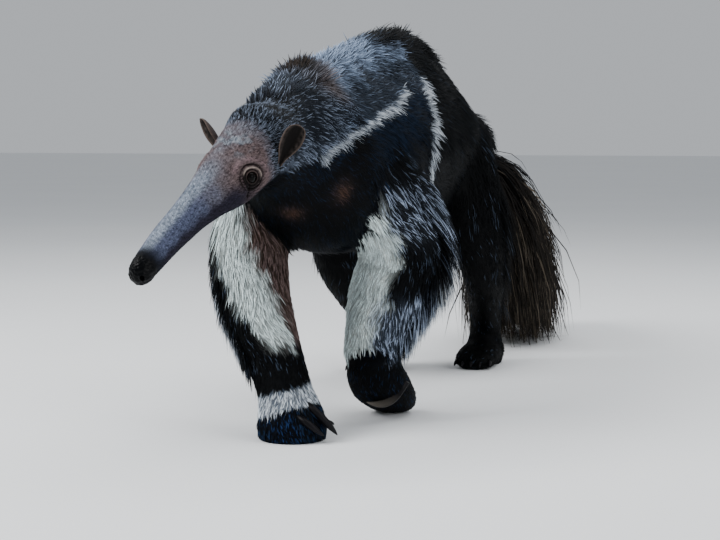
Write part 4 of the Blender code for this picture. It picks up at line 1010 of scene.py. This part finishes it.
# Horn: layered and polished by wear, so it is fairly smooth and faintly streaked lengthwise,
# dark at the root and paler and scuffed towards the point.
horn, tree, shader = finish_of("worn dark horn", 0.42, 0.11)
tone = add(tree, "ShaderNodeVertexColor", layer_name="wear")
streaks = add(tree, "ShaderNodeTexNoise", {"Scale": 420.0, "Detail": 5.0, "Roughness": 0.7})
depth = add(tree, "ShaderNodeMapRange", {"Value": streaks.outputs["Fac"], "From Min": 0.3, "From Max": 0.7, "To Min": 0.65, "To Max": 1.3})
shade = add(tree, "ShaderNodeVectorMath", {0: tone.outputs["Color"], 1: depth.outputs["Result"]}, operation="MULTIPLY")
tree.links.new(shade.outputs["Vector"], shader.inputs["Base Color"])
relief = add(tree, "ShaderNodeBump", {"Height": streaks.outputs["Fac"], "Strength": 0.3, "Distance": 0.0005})
tree.links.new(relief.outputs["Normal"], shader.inputs["Normal"])


def claw(node, root, along, curl, length, radius, worn):
    """A horn that tapers and curves from along towards curl, standing for its CAD node."""
    along, curl = unit(np.array(along, float)), unit(np.array(curl, float))
    points = []
    tones = []
    for t in np.concatenate(((-0.35,), np.linspace(0, 1, CLAW_RINGS - 1))):
        reach = max(t, 0)
        centre = root + along * (length * (t - reach * reach / 2)) + curl * (length * reach * reach / 2)
        way = unit(along * (1 - reach) + curl * reach)
        side = unit(np.cross(way, curl - along))
        thick = radius * (1.05 - reach ** 2.6 * 0.95)
        turn = 2 * np.pi * np.arange(CLAW_SIDES) / CLAW_SIDES
        keel = 1 + 0.10 * np.maximum(np.sin(turn), 0)
        points.append(centre + (np.cos(turn) * thick * 0.8)[:, None] * side + (np.sin(turn) * thick * keel)[:, None] * np.cross(side, way))
        tones.append(np.repeat((linear("#08070a") * (1 - reach) + linear(worn) * reach)[None], CLAW_SIDES, 0))
    points = np.vstack(points + [points[-1].mean(0, keepdims=True) + way * radius * 0.12])
    tones = np.vstack(tones + [tones[-1][:1]])
    k = np.arange(CLAW_SIDES)
    faces = [k[::-1].tolist()]
    for i in range(CLAW_RINGS - 1):
        low, high = i * CLAW_SIDES, (i + 1) * CLAW_SIDES
        faces += np.stack((low + k, low + (k + 1) % CLAW_SIDES, high + (k + 1) % CLAW_SIDES, high + k), 1).tolist()
    last = (CLAW_RINGS - 1) * CLAW_SIDES
    faces += [(int(last + i), int(last + (i + 1) % CLAW_SIDES), len(points) - 1) for i in k]
    bm = bmesh.new()
    for point in points:
        bm.verts.new(point)
    bm.verts.ensure_lookup_table()
    for face in faces:
        bm.faces.new([bm.verts[i] for i in face])
    bmesh.ops.recalc_face_normals(bm, faces=bm.faces)
    made = placed(node.replace("claw_", "nail_"), bpy.data.meshes.new(node))
    bm.to_mesh(made.data)
    bm.free()
    layer = made.data.attributes.new("wear", "FLOAT_COLOR", "POINT")
    layer.data.foreach_set("color", np.concatenate((tones, np.ones((len(tones), 1))), 1).ravel().astype(np.float32))
    made.data.shade_smooth()
    made.data.materials.append(horn)
    set_on(made, "claw_horn", node)


for label, rows, worn in (("right", RIGHT_FORECLAWS, WORN_RIGHT), ("left", LEFT_FORECLAWS, WORN_LEFT)):
    for number, (root, *shape) in enumerate(rows, 1):
        claw(f"foreclaw_{label}_{number}", np.array(root), *shape, worn)
for label, place in (("left", LEFT_HINDFOOT), ("right", RIGHT_HINDFOOT)):
    for number in range(5):
        spread = (number - 2) / 2
        reach = HINDCLAW_ROOT[0] + HINDCLAW_SETBACK * spread * spread
        root = np.array(place) + np.array((spread * HINDCLAW_SPREAD, reach, HINDCLAW_ROOT[1]))
        way, curl = (spread * 0.25, -1, 0.10), (spread * 0.1, -0.55, -0.8)
        claw(f"hindclaw_{label}_{number + 1}", root, way, curl, HINDCLAW_LENGTH, HINDCLAW_RADIUS, WORN_RIGHT)

# The face's fur: very short stiff hair from the muzzle back to the nape, a few millimetres at the
# snout and a centimetre on the cheeks. Each tuft is a small closed spike rooted in the hide.
TUFT_PATCH = 0.003  # side of each tuft's patch on the coat's unwrap
# Coarse animal hair: a narrow soft gloss along it, and a tone of its own for every few strands.
hair, tree, shader = finish_of("coarse guard hair", 0.58, 0.05)
tone = add(tree, "ShaderNodeVertexColor", layer_name="tone")
where = add(tree, "ShaderNodeTexCoord")
strands = add(tree, "ShaderNodeTexNoise", {"Vector": where.outputs["Object"], "Scale": 500.0, "Detail": 2.0})
depth = add(tree, "ShaderNodeMapRange", {"Value": strands.outputs["Fac"], "From Min": 0.3, "From Max": 0.7, "To Min": 0.75, "To Max": 1.25})
shade = add(tree, "ShaderNodeVectorMath", {0: tone.outputs["Color"], 1: depth.outputs["Result"]}, operation="MULTIPLY")
tree.links.new(shade.outputs["Vector"], shader.inputs["Base Color"])

corners = triangles_of(skin.data)
base = points_of(skin.data) - shift
lift_off = normals_of(skin.data)
cells = base[corners]
cell_area = np.linalg.norm(np.cross(cells[:, 1] - cells[:, 0], cells[:, 2] - cells[:, 0]), axis=1) / 2
cell_part = skin_label[corners[:, 0]]
cell_middle = cells.mean(1)
cell_normal = unit(lift_off[corners].sum(1))
part_number = {name: number for number, name in enumerate(PART_NAMES)}


def of_parts(*names):
    return np.isin(cell_part, [part_number[name] for name in names]).astype(float)


def rooted(density, count, rng):
    """Roots spread over the hide by density, with the hide's normal and the coat's lie there."""
    sums = np.cumsum(density * cell_area)
    picks = np.searchsorted(sums, (np.arange(count) + rng.random(count)) / count * sums[-1]).clip(0, len(sums) - 1)
    a, b = np.sqrt(rng.random(count)), rng.random(count)
    shares = np.stack((1 - a, a * (1 - b), a * b), 1)[..., None]
    chosen = corners[picks]
    roots = (base[chosen] * shares).sum(1)
    normals = unit((lift_off[chosen] * shares).sum(1))
    lie = (skin_lie[chosen] * shares).sum(1)
    lie = unit(lie - normals * (lie * normals).sum(1, keepdims=True))
    order = rng.permutation(count)
    return roots[order], normals[order], lie[order]


def grow(name, roots, normals, lie, length, width, rise, end_rise, sag, clump, rings, rng, tones, places, turn_pale, contrast, wisp):
    """One coat piece of closed three-sided tufts that taper, bend down and draw together in clumps."""
    count = len(roots)
    spin = rng.normal(0, 0.22, count) + 0.35 * waves(roots, 0.09, 21)
    across = np.cross(normals, lie)
    lie = lie * np.cos(spin)[:, None] + across * np.sin(spin)[:, None]
    length = length * rng.lognormal(0, 0.22, count)
    width = width * rng.uniform(0.7, 1.35, count)
    rise = rise * rng.uniform(0.6, 1.4, count)
    start = lie * np.cos(rise)[:, None] + normals * np.sin(rise)[:, None]
    end = unit(lie * np.cos(end_rise)[:, None] + normals * np.sin(end_rise)[:, None] + np.array((0, 0, -1.0)) * np.reshape(sag, (-1, 1)))
    tip = roots + (start + end) * (length / 2)[:, None]
    if clump > 1:
        hubs = np.arange(0, count, clump)
        tree = KDTree(len(hubs))
        for i, hub in enumerate(hubs):
            tree.insert(roots[hub], i)
        tree.balance()
        group = np.array([tree.find(root)[1] for root in roots])
        middle = np.zeros((len(hubs), 3))
        np.add.at(middle, group, tip)
        middle /= np.bincount(group, minlength=len(hubs))[:, None].clip(1)
        pull = rng.uniform(0.25, 0.75, count)[:, None]
        end = (tip + (middle[group] - tip) * pull - roots) / (length / 2)[:, None] - start
        group_tone = rng.normal(0, 1, len(hubs))[group]
    else:
        group_tone = np.zeros(count)
    dark, pale, share = tones
    is_pale = rng.random(count) + 0.10 * group_tone < share
    mixed = (share + (is_pale - share) * contrast)[:, None]
    vary = np.exp(rng.normal(0, 0.20, count) + 0.10 * group_tone)[:, None]
    tip_tone = (dark + (pale - dark) * mixed) * vary
    # Each tuft is darker at its root, as painted shade deep in the coat; its point is a tenth brighter than its tip
    # tone.
    shaded_root_tone = (dark * 0.60 + tip_tone * 0.15) * np.minimum(vary, 1.2)
    end_tone = tip_tone.copy()
    if wisp:
        end_tone[rng.random(count) < wisp[1]] = TONES[wisp[0]]
    steps = np.arange(rings) / rings
    thickness = np.array([{1: (1,), 2: (0.75, 1.0), 3: (0.7, 1.0, 0.7), 4: (0.6, 1.0, 0.9, 0.55)}[rings]])[0]
    points = np.empty((count, 3 * rings + 1, 3))
    shades = np.empty((count, 3 * rings + 1, 3))
    facing = np.repeat(normals[:, None], 3 * rings + 1, 1)
    for i, t in enumerate(steps):
        centre = roots - normals * 0.0006 + (start * (t - t * t / 2) + end * (t * t / 2)) * length[:, None]
        way = unit(start * (1 - t) + end * t)
        side = unit(np.cross(way, normals))
        over = np.cross(side, way)
        half = (width * thickness[i] / 2)[:, None]
        points[:, 3 * i] = centre + side * half
        points[:, 3 * i + 1] = centre - side * half
        points[:, 3 * i + 2] = centre + over * half * 0.8
        facing[:, 3 * i] += 0.6 * side
        facing[:, 3 * i + 1] -= 0.6 * side
        shades[:, 3 * i:3 * i + 3] = (shaded_root_tone + (tip_tone - shaded_root_tone) * ramp(np.array(t), *turn_pale))[:, None]
    points[:, -1] = roots + (start + end) * (length / 2)[:, None]
    shades[:, -1] = end_tone * 1.10
    floor_level = 0.0008 - shift[2]
    points[..., 2] = np.maximum(points[..., 2], floor_level)
    one = [(0, 2, 1)]
    for i in range(rings - 1):
        for a, b in ((2, 0), (1, 2), (0, 1)):
            one += [(3 * i + a, 3 * i + b, 3 * i + 3 + b), (3 * i + a, 3 * i + 3 + b, 3 * i + 3 + a)]
    last = 3 * (rings - 1)
    one += [(last + 2, last, 3 * rings), (last + 1, last + 2, 3 * rings), (last, last + 1, 3 * rings)]
    one = np.array(one)
    faces = (one[None] + (np.arange(count) * (3 * rings + 1))[:, None, None]).reshape(-1, 3)
    mesh = bpy.data.meshes.new(name)
    mesh.vertices.add(points.shape[0] * points.shape[1])
    mesh.vertices.foreach_set("co", points.ravel().astype(np.float32))
    mesh.loops.add(faces.size)
    mesh.loops.foreach_set("vertex_index", faces.ravel().astype(np.int32))
    mesh.polygons.add(len(faces))
    mesh.polygons.foreach_set("loop_start", np.arange(0, faces.size, 3, dtype=np.int32))
    mesh.update(calc_edges=True)
    mesh.shade_smooth()
    # The strands take the light mostly as the coat's surface does, as real fur seems to.
    mesh.normals_split_custom_set_from_vertices(unit(facing).reshape(-1, 3).astype(np.float32))
    layer = mesh.attributes.new("tone", "FLOAT_COLOR", "POINT")
    shades = np.concatenate((shades, np.ones((*shades.shape[:2], 1))), 2)
    layer.data.foreach_set("color", shades.ravel().astype(np.float32))
    label, place = places
    sheet = np.stack(((label % 4 + 0.04 + 0.92 * (np.arctan2(place[:, 1], place[:, 0]) / (2 * np.pi) % 1)) / 4,
                      (label // 4 + 0.04 + 0.92 * place[:, 2]) / 3), 1)
    patch = np.empty((3 * rings + 1, 2))
    for i in range(rings):
        patch[3 * i:3 * i + 3] = ((0, i / rings), (0.5, i / rings + 0.06), (1, i / rings))
    patch[-1] = (0.5, 1)
    spread = sheet[:, None] + patch[None] * TUFT_PATCH
    unwrap = mesh.uv_layers.new(name="OFBake")
    unwrap.data.foreach_set("uv", spread.reshape(-1, 2)[faces.ravel()].ravel().astype(np.float32))
    made = placed(name, mesh)
    made.data.materials.append(hair)
    return set_on(made, "coat")


def coat(name, density, count, length, width, rise, end_rise, sag, clump, rings, seed, turn_pale=(0.0, 0.6), contrast=0.85, wisp=None):
    """Roots, markings and tufts of one piece; sizes may be functions of the roots' places."""
    rng = np.random.default_rng(seed)
    roots, normals, lie = rooted(density, count, rng)
    label, place, _ = find_parts(roots)
    size = [value(roots, label, place) if callable(value) else np.full(count, float(value)) for value in (length, width, rise, end_rise, sag)]
    tones = marked(roots + lie * (0.6 * size[0])[:, None], label, place)  # the hair's own mark lies where it shows
    return grow(name, roots, normals, lie, *size, clump, rings, rng, tones, (label, place), turn_pale, contrast, wisp)


def forward_of(points):
    return (points - EYES_MIDDLE) @ head_frame[0]


def face_length(roots, label, place):
    return np.interp(forward_of(roots), (-0.10, -0.06, -0.03, 0.06, 0.15, 0.25), (0.013, 0.009, 0.0052, 0.0044, 0.0036, 0.0026))


on_snout = forward_of(cell_middle)
eye_gap = np.min([np.linalg.norm(cell_middle - head_point(mirrored(EYE_PLACE, side)), axis=1) for side in (1, -1)], axis=0)
hollow_gap = np.full(len(cell_middle), 9.0)
for side in (1, -1):
    out, slit, over = eye_axes(side)
    hollow = mirrored(EYE_PLACE, side) + slit * TEAR_HOLLOW[0] + over * TEAR_HOLLOW[1] + out * 0.003
    hollow_gap = np.minimum(hollow_gap, np.linalg.norm(cell_middle - head_point(hollow), axis=1))
clear = ramp(eye_gap, 0.0195, 0.0255) * ramp(hollow_gap, 0.0065, 0.0095)
face_density = of_parts("head") * ramp(on_snout, 0.246, 0.228) * ramp(on_snout, -0.10, -0.08) * clear
coat("face_fur", face_density, 48000, face_length, 0.0009, 0.26, 0.08, 0.0, 14, 1, 31, (0.0, 0.6), 0.9)

# The neck and throat: short hair, pale-tipped on black, so that the neck looks speckled. It
# overlaps backwards into the coat of the shoulders.
def neck_length(roots, label, place):
    return np.interp(roots[:, 1], (-0.24, -0.12, 0.02, 0.05), (0.010, 0.014, 0.020, 0.024))


on_neck = np.maximum(of_parts("trunk"), of_parts("head") * ramp(on_snout, -0.07, -0.09))
neck_density = on_neck * ramp(cell_middle[:, 1], 0.045, 0.02)
coat("neck_coat", neck_density, 19500, neck_length, 0.0011, 0.18, 0.05, 0.05, 0, 2, 32, (0.35, 0.85), 0.8)

# The back, flanks and belly: long coarse guard hair, lying back and down in overlapping locks,
# as long as six centimetres on the rump.
def back_length(roots, label, place):
    return np.interp(roots[:, 1], (0.0, 0.2, 0.5, 0.95), (0.024, 0.034, 0.046, 0.060)) * (1 - 0.25 * ramp(place[:, 1], 0.2, 0.9))


back_density = of_parts("trunk") * ramp(cell_middle[:, 1], 0.015, 0.04)
for label, side in (("left", 1), ("right", -1)):
    mine = (cell_middle[:, 0] * side > 0) * back_density
    coat(f"back_coat_{label}", mine, 15500, back_length, 0.0018, 0.18, 0.04, 0.05, 7, 2, 33 + side, (0.2, 0.8), 0.34)

# The crest: the longest hair along the ridge from nape to rump. It lies back over the trunk and
# stands up only on the neck and in one tuft on the withers.
def crest_length(roots, label, place):
    return np.interp(roots[:, 1], (-0.22, -0.12, -0.05, 0.0, 0.05, 0.3, 0.95), (0.018, 0.022, 0.026, 0.036, 0.034, 0.050, 0.066))


def crest_rise(roots, label, place):
    return np.interp(roots[:, 1], (-0.22, -0.12, -0.05, -0.015, 0.03, 0.06, 0.3, 0.95), (0.75, 0.60, 0.34, 0.95, 0.85, 0.30, 0.26, 0.24))


def crest_end(roots, label, place):
    return np.interp(roots[:, 1], (-0.22, -0.12, -0.05, 0.0, 0.05, 0.95), (0.40, 0.35, 0.20, 0.45, 0.16, 0.12))


ridge = ramp(skin_place[corners[:, 0], 1], 0.80, 0.95) * of_parts("trunk")
ridge = ridge * (1 + 6 * bell(cell_middle[:, 1] - 0.008, 0.020) + 1.5 * ramp(cell_middle[:, 1], -0.04, -0.10))
coat("crest", ridge, 5200, crest_length, 0.0017, crest_rise, crest_end, 0.0, 12, 3, 41, (0.2, 0.8), 0.6)

# The legs: shorter hair that runs down the limbs, one to three centimetres long, and a fall of
# coarse glossy hair over the paw.
def leg_length(roots, label, place):
    return np.interp(roots[:, 2], (0.02, 0.05, 0.07, 0.10, 0.20, 0.35, 0.48), (0.012, 0.015, 0.011, 0.013, 0.020, 0.026, 0.032))


def leg_width(roots, label, place):
    return np.interp(roots[:, 2], (0.045, 0.06, 0.30), (0.0024, 0.0014, 0.0017))


for name, parts_of, count, seed in (
    ("foreleg_coat_right", ("foreleg_right",), 15500, 51),
    ("foreleg_coat_left", ("foreleg_left", "forepaw_left"), 15500, 52),
    ("hindleg_coat_right", ("hindleg_right", "hindfoot_right"), 6500, 53),
    ("hindleg_coat_left", ("hindleg_left", "hindfoot_left"), 6500, 54),
):
    mine = of_parts(*parts_of) * (1 + 1.0 * ramp(cell_middle[:, 2], 0.16, 0.05)) * (cell_middle[:, 2] > 0.004)
    coat(name, mine, count, leg_length, leg_width, 0.22, 0.04, 0.05, 9, 2, seed)

# The fringes: longer hair that hangs from the back of the legs, and hides elbow and heel.
def fringe(name, part, low, high, bearing, spread, length, seed, count):
    mine = (cell_part == part_number[part]) * bearing_mask(skin_place[corners[:, 0]], bearing, spread)
    mine = mine * ramp(cell_middle[:, 2], low - 0.01, low + 0.02) * ramp(cell_middle[:, 2], high + 0.03, high)
    coat(name, mine, count, length, 0.0019, 0.40, 0.24, 0.50, 12, 4, seed)


def elbow_length(roots, label, place):
    return np.interp(roots[:, 2], (0.12, 0.20, 0.26, 0.34, 0.40), (0.036, 0.050, 0.070, 0.070, 0.045))


fringe("fringe_foreleg_right", "foreleg_right", 0.11, 0.34, -168, 30, 0.036, 61, 1200)
fringe("fringe_foreleg_left", "foreleg_left", 0.13, 0.40, 28, 34, elbow_length, 62, 1900)
fringe("fringe_hindleg_right", "hindleg_right", 0.12, 0.38, 120, 50, 0.060, 63, 800)
fringe("fringe_hindleg_left", "hindleg_left", 0.12, 0.38, 60, 50, 0.060, 64, 800)

# The tail: a thin bony tail carried out and down, with coarse hair up to thirty centimetres
# long that hangs from it on both sides like a flag.
def tail_length(roots, label, place):
    lower = ramp(-place[:, 1], -0.9, 0.6)
    return (0.15 + 0.13 * lower) * np.interp(roots[:, 1], (0.93, 1.05, 1.3, 1.5), (0.75, 1.0, 1.0, 0.85))


tail_density = of_parts("tail") * ramp(cell_middle[:, 1], 0.93, 0.97)
coat("tail_hair_near", tail_density * (cell_middle[:, 0] > 0.05), 4200, tail_length, 0.0040, 0.50, 0.12, 0.85, 14, 4, 71, (0.0, 0.6), 0.6, ("tail_tip", 0.22))
coat("tail_hair_far", tail_density * (cell_middle[:, 0] <= 0.05), 4200, tail_length, 0.0040, 0.50, 0.12, 0.85, 14, 4, 72, (0.0, 0.6), 0.6, ("tail_tip", 0.22))

# Ears are set on last, in their tufts.
for label, ear in ears.items():
    set_on(ear, "ear_skin", f"ear_{label}")
